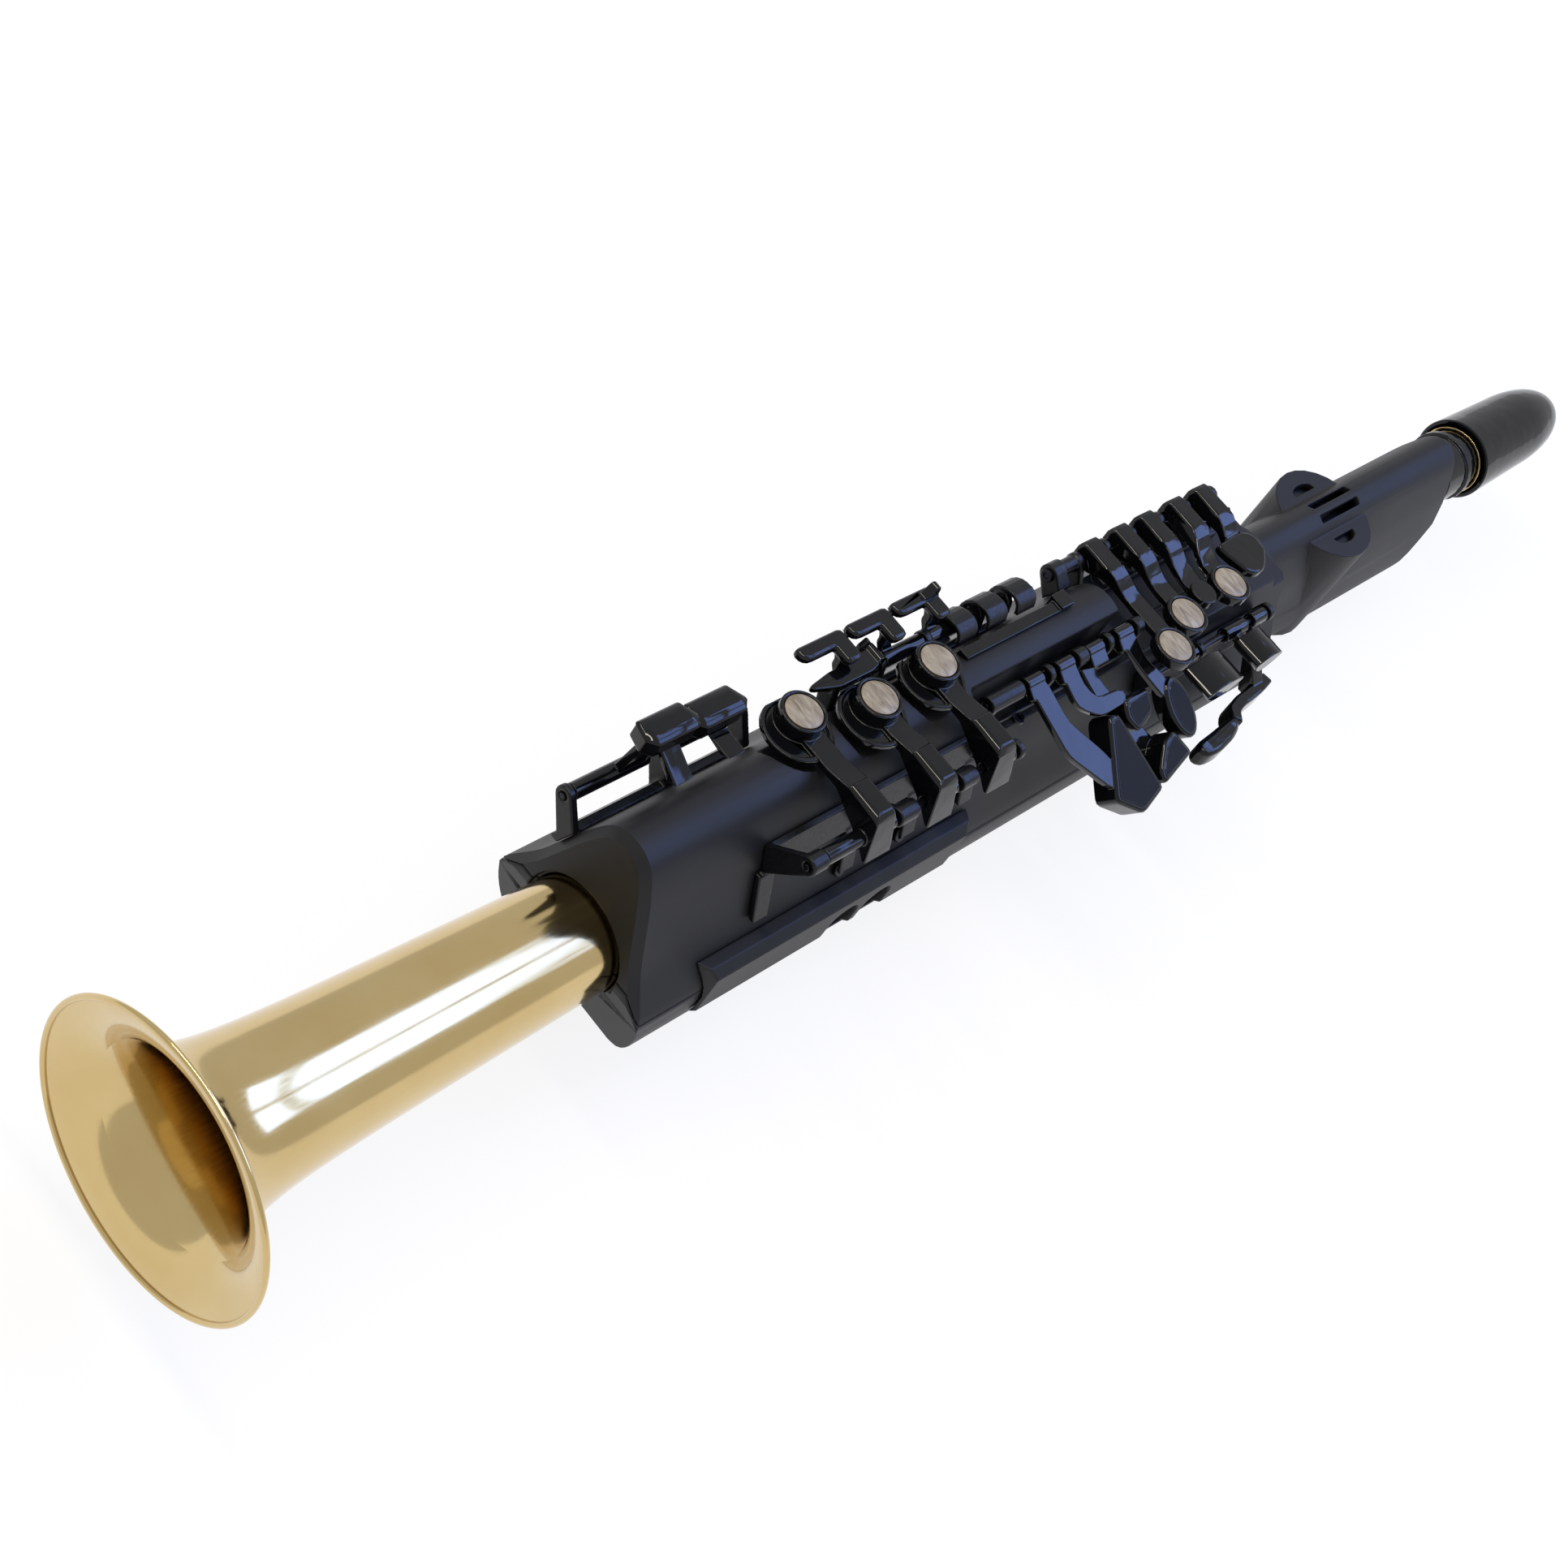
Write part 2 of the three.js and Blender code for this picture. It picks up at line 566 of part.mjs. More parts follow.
// Right-hand stack: pearls over the ridge, arms across the body to a rod on the player's left
const rightFrame = {
  posts: [186.6, 224, 252, 279], barrels: [4, 6, 5, 0], foot: [33, 24], thick: 1.8, tab: [25, 10],
  tabThick: 2.2,
  tabHalf: 3.2,
};

// Widens the lower end of an arm's tail towards the mouthpiece
function flareTail(geometry, middle) {
  const { position } = geometry.attributes;
  for (let i = 0; i < position.count; i += 1) {
    const low = position.getZ(i) < stack.tailZ + clearance;
    if (low && position.getX(i) > middle) position.setX(i, position.getX(i) + stack.tailFlare);
  }
}

function makeRightKeys() {
  const rod = rods.right;
  const [high, low] = rightFrame.foot;
  const posts = rightFrame.posts.map((x, i) => post(
    rod, x, [-sideAt(high), high], [-sideAt(low), low], rightFrame.barrels[i]));
  const rail = sideRail(
    -1, rightFrame.foot, rightFrame.thick, rightFrame.posts[0], rightFrame.posts.at(-1) + postWidth);
  const tabs = rightFrame.posts.map((x) => sideRail(-1, rightFrame.tab, rightFrame.tabThick,
    x + postWidth / 2 - rightFrame.tabHalf, x + postWidth / 2 + rightFrame.tabHalf));
  add('right_key_frame', cut(join(rail, ...posts, ...tabs), rodHole(rod)), glossFinish);

  for (const [name, key] of Object.entries(rightKeys)) {
    const [discX, discY] = [key.x - stack.cupOffset, key.y - stack.cupOffset];
    const beyond = box(discX - stack.discRadius * 2, discX + stack.discRadius * 2,
      key.edge ?? stack.discEdge,
      stack.discRadius * 3, 0, stack.rootTop);
    const dish = barZ(stack.discRadius - stack.dishRim, stack.discTo - stack.dishDepth,
      stack.discTo + overrun, discX, discY);
    const disc = cut(barZ(stack.discRadius, stack.discFrom, stack.discTo, discX, discY), beyond, dish);
    const cup = barZ(stack.cupRadius, stack.discFrom, stack.cupTo, key.x, key.y);
    const arm = alongX([
      [key.y, stack.armTo], [stack.bendY, stack.armTo],
      [stack.rootY + stack.rootStep / 2, stack.rootTop - stack.rootStep],
      [stack.rootY, stack.rootTop], [stack.rootEnd + stack.rootChamfer, stack.rootTop],
      [stack.rootEnd, stack.rootTop - stack.rootChamfer], [stack.tailY, stack.tailZ],
      [stack.tailY + stack.tailThick, stack.tailZ], [rod.y, rod.z - hubRadius * 0.9],
      [stack.webStartY, stack.armFrom], [key.y, stack.armFrom],
    ], key.arm - stack.armWidth / 2, key.arm + stack.armWidth / 2);
    flareTail(arm, key.arm);
    const hub = barX(hubRadius, key.arm - stack.armWidth / 2 - (key.sleeve ?? 0),
      key.arm + stack.armWidth / 2 + hubRadius * 2, rod.y, rod.z);
    const seat = barZ(stack.pearlRadius + clearance, stack.cupTo - stack.pearlThick + stack.pearlRise,
      stack.cupTo + overrun, key.x, key.y, facets.pearl);
    add(name, cut(join(disc, cup, arm, hub), rodHole(rod), seat), glossFinish);
    addPearl(`${name.replace('_key', '')}_pearl`, key, stack.cupTo);
  }
}

// Pearl: a disc with a low dome, let into its cup
function addPearl(name, key, cupTop) {
  const base = cupTop - stack.pearlThick + stack.pearlRise + clearance;
  const edge = cupTop + stack.pearlRise / 2;
  const crown = cupTop + stack.pearlRise;
  const profile = [[0, base], [stack.pearlRadius, base], [stack.pearlRadius, edge],
    [stack.pearlRadius * 0.9, crown - stack.pearlRise / 8], [0, crown]];
  const points = profile.map(([radius, z]) => new THREE.Vector2(radius, z));
  const geometry = new THREE.LatheGeometry(points, facets.pearl).rotateX(Math.PI / 2);
  add(name, geometry.translate(key.x, key.y, 0), pearlFinish);
}

// Left-hand stack: arms from a rod on the player's right, stepping down to the touches
const leftFrame = {
  posts: [356.6, 371.4, 386, 401.6, 417, 432.4], foot: [6.5, 14], railHigh: 3, bossFrom: 343.4,
  bossTo: 349.4,
  bossRadius: 3.5, bossFoot: [40, 33],
};

// Moves the end of an arm sideways, little by little between two places along Y
function shiftEnd(geometry, [from, to], shift) {
  const { position } = geometry.attributes;
  for (let i = 0; i < position.count; i += 1) {
    const way = THREE.MathUtils.clamp((from - position.getY(i)) / (from - to), 0, 1);
    position.setX(i, position.getX(i) + way * shift);
  }
}

function makeLeftKeys() {
  const rod = rods.left;
  const seatZ = body.lowTop + clearance;
  const [inner, outer] = leftFrame.foot;
  const posts = leftFrame.posts.map((x) => post(rod, x, [outer, seatZ], [inner, seatZ]));
  const rail = box(leftFrame.posts[0], leftFrame.posts.at(-1) + postWidth, inner, outer, seatZ,
    seatZ + leftFrame.railHigh);
  const { bossFrom, bossTo, bossRadius, bossFoot: [high, low] } = leftFrame;
  const bossOutline = lug([rod.y, rod.z], bossRadius, [sideAt(low), low], [sideAt(high), high]);
  const boss = alongX(bossOutline, bossFrom, bossTo);
  const barrel = barX(hubRadius, bossTo - clearance, leftFrame.posts[0] + clearance, rod.y, rod.z);
  add('left_key_frame', cut(join(rail, boss, barrel, ...posts), rodHole(rod)), glossFinish);

  for (const [name, key] of Object.entries(leftKeys)) {
    const s = leftStack;
    const armBottom = s.armTop - s.armThick;
    const arm = alongX(rounded([
      [s.rootFar, s.rootBottom], [s.rootFar, s.rootTop], [s.rootNear, s.rootTop], [s.bendEnd, s.armTop],
      [key.y, s.armTop], [key.y, armBottom], [s.bendEnd - s.bend / 2, armBottom],
      [s.rootNear + s.chamfer, s.rootTop - s.armThick * 2], [rod.y - hubRadius, s.rootBottom],
    ], s.bend), key.root - s.armWidth / 2, key.root + s.armWidth / 2);
    shiftEnd(arm, [s.rootNear, s.bendEnd - s.bend], key.arm - key.root);
    const hub = barX(hubRadius, key.root - s.armWidth / 2, key.root + s.armWidth / 2, rod.y, rod.z);
    const pieces = [arm, hub];
    const holes = [rodHole(rod)];
    if (name === 'bis_key') {
      pieces.push(barZ(s.bisRadius, armBottom, s.armTop + s.scoop, key.x, key.y, facets.pearl));
    } else if (name === 'front_f_key') {
      pieces.push(alongZ(rounded(dropTouch, s.scoop), armBottom, s.armTop + s.scoop, s.scoop / 2));
    } else {
      pieces.push(barZ(s.cupRadius, s.cupFrom, s.cupTo, key.x, key.y));
      holes.push(barZ(stack.pearlRadius + clearance, s.cupTo - stack.pearlThick + stack.pearlRise,
        s.cupTo + overrun,
        key.x, key.y, facets.pearl));
      addPearl(`${name.replace('_key', '')}_pearl`, key, s.cupTo);
    }
    add(name, cut(join(...pieces), ...holes), glossFinish);
  }
}

// Drop shape of the front touch, in places along X and Y
const dropTouch = [
  [414.4, -3], [415.2, -1.2], [428.8, -0.9], [432, -2.6], [433.2, -5], [432.7, -10.3], [428.5, -14.2],
  [424.7, -16.4], [420.2, -16.6], [417, -14.2], [414.9, -6.8],
];

// Low keys for the right little finger: tall touches with an inner arm and an outer web on a rod
const lowStack = {
  posts: [140.7, 176.6, 208.6], foot: [28, 20], railThick: 3, armWidth: 7, webThick: 2.6,
  armThick: 3.2, armTipY: 8, armTipZ: 47.4, bevel: 1.2, blockDeep: 8,
};
const lowKeys = {
  low_c_key: { from: 155.5, to: 176, near: 16.5, far: 25.4, top: 60, arm: 166.5, hubFrom: 143.6,
    hubTo: 172 },
  low_eflat_key: { from: 177.5, to: 198.5, near: 17, far: 26, top: 54.6, arm: 187.5, hubFrom: 181,
    hubTo: 206 },
};

function makeLowKeys() {
  const rod = rods.low;
  const [high, low] = lowStack.foot;
  const posts = lowStack.posts.map((x) => post(rod, x, [sideAt(low), low], [sideAt(high), high]));
  const rail = sideRail(1, lowStack.foot, lowStack.railThick, lowStack.posts[0],
    lowStack.posts.at(-1) + postWidth);
  add('low_key_frame', cut(join(rail, ...posts), rodHole(rod)), glossFinish);

  for (const [name, key] of Object.entries(lowKeys)) {
    const s = lowStack;
    const blockBottom = key.top - s.blockDeep;
    const lean = (key.far - key.near) / 3;
    const block = alongZ([
      [key.from, key.near + lean], [key.from + lean, key.near], [key.to - lean, key.near],
      [key.to, key.near + lean], [key.to - lean, key.far], [key.from + lean / 2, key.far],
    ], blockBottom, key.top, s.bevel);
    const innerArm = alongX([
      [key.near + lean, blockBottom + s.bevel], [key.near + lean + s.armThick, blockBottom + s.bevel],
      [s.armTipY + s.armThick, s.armTipZ - s.armThick / 2], [s.armTipY, s.armTipZ],
    ], key.arm - s.armWidth / 2, key.arm + s.armWidth / 2);
    const web = alongX([
      [key.far - s.webThick * 2, blockBottom + s.bevel], [key.far - s.webThick, blockBottom + s.bevel],
      [rod.y + s.webThick / 2, rod.z], [rod.y - s.webThick / 2, rod.z],
    ], key.arm - s.armWidth, key.arm + s.armWidth / 2);
    const hub = barX(hubRadius, key.hubFrom, key.hubTo, rod.y, rod.z);
    add(name, cut(join(block, innerArm, web, hub), rodHole(rod)), glossFinish);
  }
}

// Side keys: three hooked touches in a row on one rod, and a leaf key on a cross pin above them
const sideStack = {
  posts: [232.2, 253, 274.2, 299.6, 313], foot: [40, 33], railThick: 2.4, near: 20.3, far: 25.5,
  touchTop: 57.4,
  touchDeep: 3.2, bevel: 0.8, corner: 2, legThick: 2.6, kneeY: 17.2, kneeZ: 52.8, ankleZ: 49.4,
  legWide: 4.6, plateNear: 14.2, plateWide: 6.8, finNear: 21.2, finDeep: 3,
};
const sideKeys = {
  side_bflat_key: { from: 221, to: 241, hubFrom: 235, hubTo: 252.6 },
  side_c_key: { from: 242.6, to: 261, hubFrom: 256, hubTo: 273.8 },
  side_high_e_key: { from: 262.6, to: 281.6, fin: 4, finLong: 11, hubFrom: 276.8, hubTo: 299.2 },
};
// Curved covers over the side rod: the height of their foot on the rail, the outer line seen along X
// from there, and where each begins and ends
const bridge = {
  foot: 36.4,
  line: [[18.2, 38.6], [20, 43], [19.4, 47.6], [16.4, 50.6], [12, 51.4], [9, 49.8], [7.8, 46.6]],
  thick: 1.4, places: [[284.6, 293.6], [299, 308.4], [313.4, 322.6]],
};

// Touch of a side key: a bar with a round free end, and a plate turned in over the leg at the other end
function hookPieces({ from, to }) {
  const s = sideStack;
  const bar = rounded([
    [from, s.near + s.corner], [from, s.far], [to, s.far], [to, s.near], [from + s.corner, s.near],
  ], s.corner);
  const inner = to - s.plateWide;
  const plate = rounded([
    [inner, s.plateNear], [to, s.plateNear], [to, s.far], [inner, s.far],
  ], s.corner);
  return [bar, plate].map((outline) => alongZ(outline, s.touchTop - s.touchDeep, s.touchTop, s.bevel));
}

// Fin that stands on the end of the highest side key, seen along Y
function finOutline({ to, fin, finLong }) {
  const top = sideStack.touchTop;
  const under = top - sideStack.touchDeep + sideStack.bevel;
  return rounded([
    [to - finLong, top - sideStack.bevel], [to - finLong / 2, top], [to - fin, top + fin],
    [to - fin / 4, top + fin], [to, top], [to, under], [to - finLong / 2, under],
  ], sideStack.corner);
}

const leaf = {
  from: 221.2, to: 250, near: 10.8, far: 16.6, top: 52.2, thick: 2, pivotX: 250, pivotZ: 51.4,
  barrelRadius: 1.9,
  hubFrom: 12.2, hubTo: 18.4, wall: 2, bracketHalf: 2.4, noseHalf: 1.4,
};

function makeSideKeys() {
  const rod = rods.side;
  const s = sideStack;
  const [high, low] = s.foot;
  const posts = s.posts.map((x) => post(rod, x, [sideAt(low), low], [sideAt(high), high]));
  const rail = sideRail(1, s.foot, s.railThick, s.posts[0], s.posts.at(-1) + postWidth);
  const cheekY = leaf.hubTo + clearance;
  const cheek = alongY([
    [leaf.pivotX - leaf.bracketHalf, low], [leaf.pivotX + leaf.bracketHalf, low],
    [leaf.pivotX + leaf.bracketHalf, leaf.pivotZ], [leaf.pivotX, leaf.pivotZ + leaf.bracketHalf],
    [leaf.pivotX - leaf.bracketHalf, leaf.pivotZ],
  ], cheekY, cheekY + leaf.wall);
  const shelf = box(leaf.pivotX - leaf.bracketHalf, leaf.pivotX + leaf.bracketHalf,
    sideAt(low) + s.railThick / 2,
    cheekY + leaf.wall, low, low + s.railThick);
  const pin = barY(rodRadius, leaf.hubFrom, cheekY + leaf.wall, leaf.pivotX, leaf.pivotZ);
  const bridgeFoot = [sideAt(bridge.foot) + s.railThick / 2, bridge.foot];
  const bridgeOutline = band([bridgeFoot, ...bridge.line], bridge.thick, facets.barrel);
  const bridgePieces = bridge.places.map(([from, to]) => alongX(bridgeOutline, from, to));
  add('side_key_frame', join(cut(join(rail, ...posts), rodHole(rod)), cheek, shelf, pin,
    ...bridgePieces), glossFinish);

  for (const [name, key] of Object.entries(sideKeys)) {
    const leg = alongX(rounded([
      [s.near + s.corner, s.touchTop - s.bevel / 2], [s.kneeY, s.kneeZ], [s.kneeY, s.ankleZ],
      [rod.y - s.legThick / 2, rod.z], [rod.y + s.legThick / 2, rod.z - s.legThick / 2],
      [s.kneeY + s.legThick, s.ankleZ], [s.kneeY + s.legThick, s.kneeZ - s.legThick / 2],
      [s.near + s.corner, s.touchTop - s.touchDeep + s.bevel / 2],
    ], s.bevel), key.to - s.legWide, key.to);
    const hub = barX(hubRadius, key.hubFrom, key.hubTo, rod.y, rod.z);
    const fins = key.fin ? [alongY(finOutline(key), s.finNear, s.finNear + s.finDeep)] : [];
    add(name, cut(join(...hookPieces(key), leg, hub, ...fins), rodHole(rod)), glossFinish);
  }

  const third = (leaf.to - leaf.from) / 3;
  const blade = alongZ(rounded([
    [leaf.from, leaf.far - leaf.noseHalf], [leaf.from, leaf.far - 2 * leaf.noseHalf],
    [leaf.from + third, leaf.near],
    [leaf.to - third / 2, leaf.near], [leaf.to, leaf.hubFrom], [leaf.to, leaf.hubTo],
    [leaf.to - third, leaf.far],
    [leaf.from + third, leaf.far],
  ], leaf.noseHalf), leaf.top - leaf.thick, leaf.top);
  const leafHub = barY(leaf.barrelRadius, leaf.hubFrom, leaf.hubTo, leaf.pivotX, leaf.pivotZ);
  const leafHole = barY(boreRadius, leaf.hubFrom - overrun, leaf.hubTo + overrun, leaf.pivotX, leaf.pivotZ);
  add('high_fsharp_key', cut(join(blade, leafHub), leafHole), glossFinish);
}

// Left little-finger table: four touches in one sloping plane, each on a lever from the rod
const table = {
  slope: 30, leverThick: 2.4, hubLength: 8, bevel: 0.8, corner: 2, elbow: 3, under: 6.6, leverRise: 2.2,
  posts: [282.6, 311.4, 326.2, 342, 357.2], barrels: [13.6, 0, 2.6, 0, 1.4],
  footInner: 7, footOuter: 14.5, railHigh: 3,
};
const tableKeys = {
  low_bflat_key: {
    hubAt: 305, deep: 9, under: 0,
    lever: [[301, 0], [309, 0], [313, 16], [324, 30], [332, 44], [322, 42], [308, 26]],
    touch: [[330.3, 21], [335.4, 21], [344.8, 50], [332, 54], [321, 46]],
  },
  gsharp_key: {
    hubAt: 320.5, deep: 4, under: 0,
    lever: [[316.5, 0], [324.5, 0], [325, 8], [329, 14], [342, 15], [342, 19.8], [328, 20], [319, 14]],
    touch: [[340, 18.6], [352.6, 18.4], [352, 26.6], [341.8, 30.3], [338.2, 24.2]],
  },
  csharp_key: {
    hubAt: 336, deep: 8.4, under: 1,
    lever: [[332, 0], [340, 0], [340, 10], [345, 20], [357, 38], [350, 42], [337, 20]],
    touch: [[351.4, 37.2], [358, 34.8], [363.6, 44.8], [345.8, 49.6], [345, 45]],
  },
  low_b_key: {
    hubAt: 351.5, deep: 6, under: 0,
    lever: [[347.5, 0], [355.5, 0], [357, 10.4], [364, 20], [360, 26], [353.5, 14]],
    oval: { x: 365.3, s: 29.9, long: 10.8, short: 6, turn: -8 },
  },
};

// Moves a piece drawn flat, with its y as the way down from the rod, into the sloping plane
function ontoTable(geometry) {
  const angle = THREE.MathUtils.degToRad(table.slope);
  geometry.applyMatrix4(new THREE.Matrix4().makeRotationX(angle));
  return geometry.translate(0, rods.table.y, rods.table.z);
}

function tableOutline(points) {
  return points.map(([x, s]) => [x, -s]);
}

function ovalOutline({ x, s, long, short, turn }) {
  const angle = THREE.MathUtils.degToRad(turn);
  return arc(0, 0, 1, 0, 1, facets.pearl).slice(1).map(([u, v]) => {
    const [a, b] = [u * short, v * long];
    return [x + a * Math.cos(angle) + b * Math.sin(angle), -s - a * Math.sin(angle) + b * Math.cos(angle)];
  });
}

function makeTableKeys() {
  const rod = rods.table;
  const seatZ = body.notchFloor + clearance;
  const posts = table.posts.map(
    (x, i) => post(rod, x, [-table.footInner, seatZ], [-table.footOuter, seatZ], table.barrels[i]));
  const rail = box(table.posts[0], table.posts.at(-1) + postWidth, -table.footOuter, -table.footInner,
    seatZ, seatZ + table.railHigh);
  add('table_key_frame', cut(join(rail, ...posts), rodHole(rod)), glossFinish);

  for (const [name, key] of Object.entries(tableKeys)) {
    const top = table.leverRise;
    const drop = key.under * table.under;
    const outline = key.touch ? rounded(tableOutline(key.touch), table.corner) : ovalOutline(key.oval);
    const touch = alongZ(outline, top - key.deep, top + table.bevel, table.bevel);
    const lever = alongZ(rounded(tableOutline(key.lever), table.elbow), top - table.leverThick - drop,
      top - drop);
    const hub = barX(hubRadius, key.hubAt - table.hubLength / 2, key.hubAt + table.hubLength / 2, rod.y,
      rod.z);
    const neckPiece = box(key.hubAt - table.hubLength / 2, key.hubAt + table.hubLength / 2,
      -hubRadius * 2, 0,
      top - table.leverThick - drop, top);
    const solid = join(hub, ontoTable(touch), ontoTable(lever), ontoTable(neckPiece));
    add(name, cut(solid, rodHole(rod)), glossFinish);
  }
}

// Palm keys: two half-round blocks and one hooked touch on a rod beside the upper body. Inner and outer
// places are measured from the widest line of the body, outwards
const palm = {
  posts: [369.4, 395.4, 437], foot: [20, 12], railThick: 3, armThick: 4, armDrop: 6,
};
const palmBlocks = {
  palm_d_key: { from: 379.4, to: 399.8, inner: -3.1, outer: 9.1, top: 30.5, deep: 9, arm: 388,
    hubFrom: 383, hubTo: 394.8 },
  palm_eflat_key: { from: 409.6, to: 424.6, inner: -3.1, outer: 8.3, top: 30, deep: 9, arm: 418,
    hubFrom: 412, hubTo: 424 },
};
// Right half of a block's round belly: shares of its half length and of its depth, down from the top
const bellyShares = [[0.94, 0], [1, 0.08], [0.93, 0.34], [0.77, 0.6], [0.53, 0.83], [0.24, 1]];
// Hooked key: a deep curved lever from the rod's end, and a rounded touch across its end
const palmHook = {
  hubFrom: 428, hubTo: 436, top: 5.6, deep: 9, width: 4.6, bevel: 1.2, corner: 2.4, armWidth: 6,
  fallOut: 8, fallThick: 3.4,
  line: [[437.6, 5.2], [431.8, 6.4], [425, 7.2], [418, 7.8], [412.4, 9.6], [408.6, 13.6]],
  touch: [
    [411, 12.6], [410.4, 17], [404, 19.6], [394, 21.2], [386.8, 20.6], [384.6, 17.4], [387, 14.6],
    [396, 14],
  ],
};

function makePalmKeys() {
  const rod = rods.palm;
  const out = (distance) => -(body.halfWidth + distance);
  const [high, low] = palm.foot;
  const posts = palm.posts.map((x) => post(rod, x, [-sideAt(high), high], [-sideAt(low), low]));
  const rail = sideRail(-1, palm.foot, palm.railThick, palm.posts[0], palm.posts.at(-1) + postWidth);
  const pin = barX(rodRadius, rod.from, rod.to, rod.y, rod.z);
  add('palm_key_frame', join(rail, ...posts, pin), matteFinish);

  for (const [name, key] of Object.entries(palmBlocks)) {
    const middle = (key.from + key.to) / 2;
    const half = (key.to - key.from) / 2;
    const belly = bellyShares.map(([along, down]) => [along * half, key.top - down * key.deep]);
    const block = alongY([
      ...belly.map(([reach, z]) => [middle + reach, z]),
      ...belly.slice().reverse().map(([reach, z]) => [middle - reach, z]),
    ], out(key.outer), out(key.inner));
    const armTop = Math.min(rod.z + hubRadius / 2, key.top - palm.armThick / 2);
    const arm = alongX([
      [rod.y, armTop], [out(key.inner) - palm.armThick, armTop],
      [out(key.inner) - palm.armThick, armTop - palm.armThick],
      [rod.y, rod.z - hubRadius / 2],
    ], key.arm - palm.armThick / 2, key.arm + palm.armThick / 2);
    const hub = barX(hubRadius, key.hubFrom, key.hubTo, rod.y, rod.z);
    add(name, cut(join(block, arm, hub), rodHole(rod)), glossFinish);
  }

  const h = palmHook;
  const place = ([x, distance]) => [x, out(distance)];
  const blade = alongZ(band(h.line.map(place), h.width, facets.barrel), h.top - h.deep, h.top, h.bevel / 2);
  const touch = alongZ(rounded(h.touch.map(place), h.corner), h.top - h.deep + h.bevel, h.top, h.bevel);
  const fall = alongX([
    [rod.y, rod.z + h.fallThick / 2], [out(h.fallOut), h.top], [out(h.fallOut), h.top - palm.armDrop],
    [out(h.fallOut) + h.fallThick, h.top - palm.armDrop], [rod.y, rod.z - h.fallThick / 2],
  ], h.hubFrom, h.hubFrom + h.armWidth);
  const hub = barX(hubRadius, h.hubFrom, h.hubTo, rod.y, rod.z);
  add('palm_f_key', cut(join(blade, touch, fall, hub), rodHole(rod)), glossFinish);
}

// Hinge rods of the stacks, but for the palm keys, whose pin is part of their frame
function makeRods() {
  for (const name of ['right', 'low', 'side', 'left', 'table']) {
    const rod = rods[name];
    add(`${name}_hinge_rod`, barX(rodRadius, rod.from, rod.to, rod.y, rod.z, facets.small), steelFinish);
  }
}

// Neck housing with the round drum of the loudspeaker
function neckForm(shrink) {
  const blade = alongX(inset(neckSection, shrink), neckStart + shrink, neckEnd - shrink);
  const drum = barZ(neck.drumRadius - shrink, -neck.drumBack + shrink, neck.drumTop - shrink, drumX, 0);
  return join(blade, drum);
}

function makeNeck() {
  const hollow = neckForm(neck.wall);
  const bores = [
    barX(tenon.radius, neckStart - overrun, neckStart + overrun + neck.wall, 0, 0),
    barX(tenon.radius, neckEnd - overrun - neck.wall, neckEnd + overrun, 0, 0),
  ];
  const slots = [-1, 1].map((side) => box(
    neckStart + neck.slotsFrom, neckStart + neck.slotsFrom + neck.slotLength,
    side * neck.slotPitch / 2 - neck.slotWidth / 2, side * neck.slotPitch / 2 + neck.slotWidth / 2,
    neck.top - neck.slotDepth, neck.top + overrun));
  const windows = [-1, 1].map((side) => alongZ([
    [drumX - neck.windowLength / 2, side * neck.windowFrom],
    ...arc(drumX, side * neck.windowFrom, neck.windowLength / 2, side > 0 ? 0.42 : 0.58,
      side > 0 ? 0.08 : 0.92,
      facets.small).map(([x, y]) => [x, side * (neck.windowFrom + Math.abs(y - side * neck.windowFrom) * 2
        * neck.windowDepth / neck.windowLength)]),
    [drumX + neck.windowLength / 2, side * neck.windowFrom],
  ], neck.drumTop - neck.windowDrop, neck.drumTop + overrun));
  const endCut = alongY([
    [neckEnd + overrun, -neck.back / 3], [neckEnd, -neck.back / 3],
    [neckEnd - neck.endSlope, -neck.back - overrun],
    [neckEnd + overrun, -neck.back - overrun],
  ], -neck.halfWidth - overrun, neck.halfWidth + overrun);
  const endInner = endCut.clone().translate(-neck.wall, 0, 0);
  const shell = cut(neckForm(0), cut(hollow, endInner), ...bores, ...slots, ...windows, endCut);
  add('neck_housing', shell, matteFinish);

  const collar = cut(
    barX(neck.collarRadius, body.end + clearance, neckStart - clearance, 0,
      neck.collarTop - neck.collarRadius, facets.tube),
    barX(tenon.radius, body.end - overrun, neckStart + overrun, 0, 0));
  add('neck_collar', collar, rubberFinish);
}

// Loudspeaker in the drum, breath sensor and its tube
const speaker = { radius: 15, magnet: 8, deep: 3, magnetDeep: 6, top: 13.7 };
const breath = {
  toEnd: 36.5, length: 12, halfWidth: 7, height: 10, pipe: 3, pipeBore: 1.6, plateHalf: 12.8,
  plateThick: 1.6,
};

function makeNeckInside() {
  const cone = barZ(speaker.radius, speaker.top - speaker.deep, speaker.top, drumX, 0);
  const magnet = barZ(speaker.magnet, speaker.top - speaker.deep - speaker.magnetDeep,
    speaker.top - speaker.deep / 2, drumX, 0);
  add('loudspeaker', join(cone, magnet), steelFinish);
  const sensorX = neckEnd - breath.toEnd;
  const sensor = join(
    box(sensorX, sensorX + breath.length, -breath.halfWidth, breath.halfWidth, -breath.height / 2,
      breath.height / 2),
    box(sensorX - breath.length / 2, sensorX + breath.length, -breath.plateHalf, breath.plateHalf,
      -breath.height / 2, breath.plateThick - breath.height / 2));
  const pipe = barX(breath.pipe, sensorX + breath.length - clearance, tenonStart - clearance, 0, 0);
  const bore = barX(breath.pipeBore, sensorX + breath.length / 2, tenonStart + overrun, 0, 0);
  add('breath_sensor', cut(join(sensor, pipe), bore), boardFinish);
}

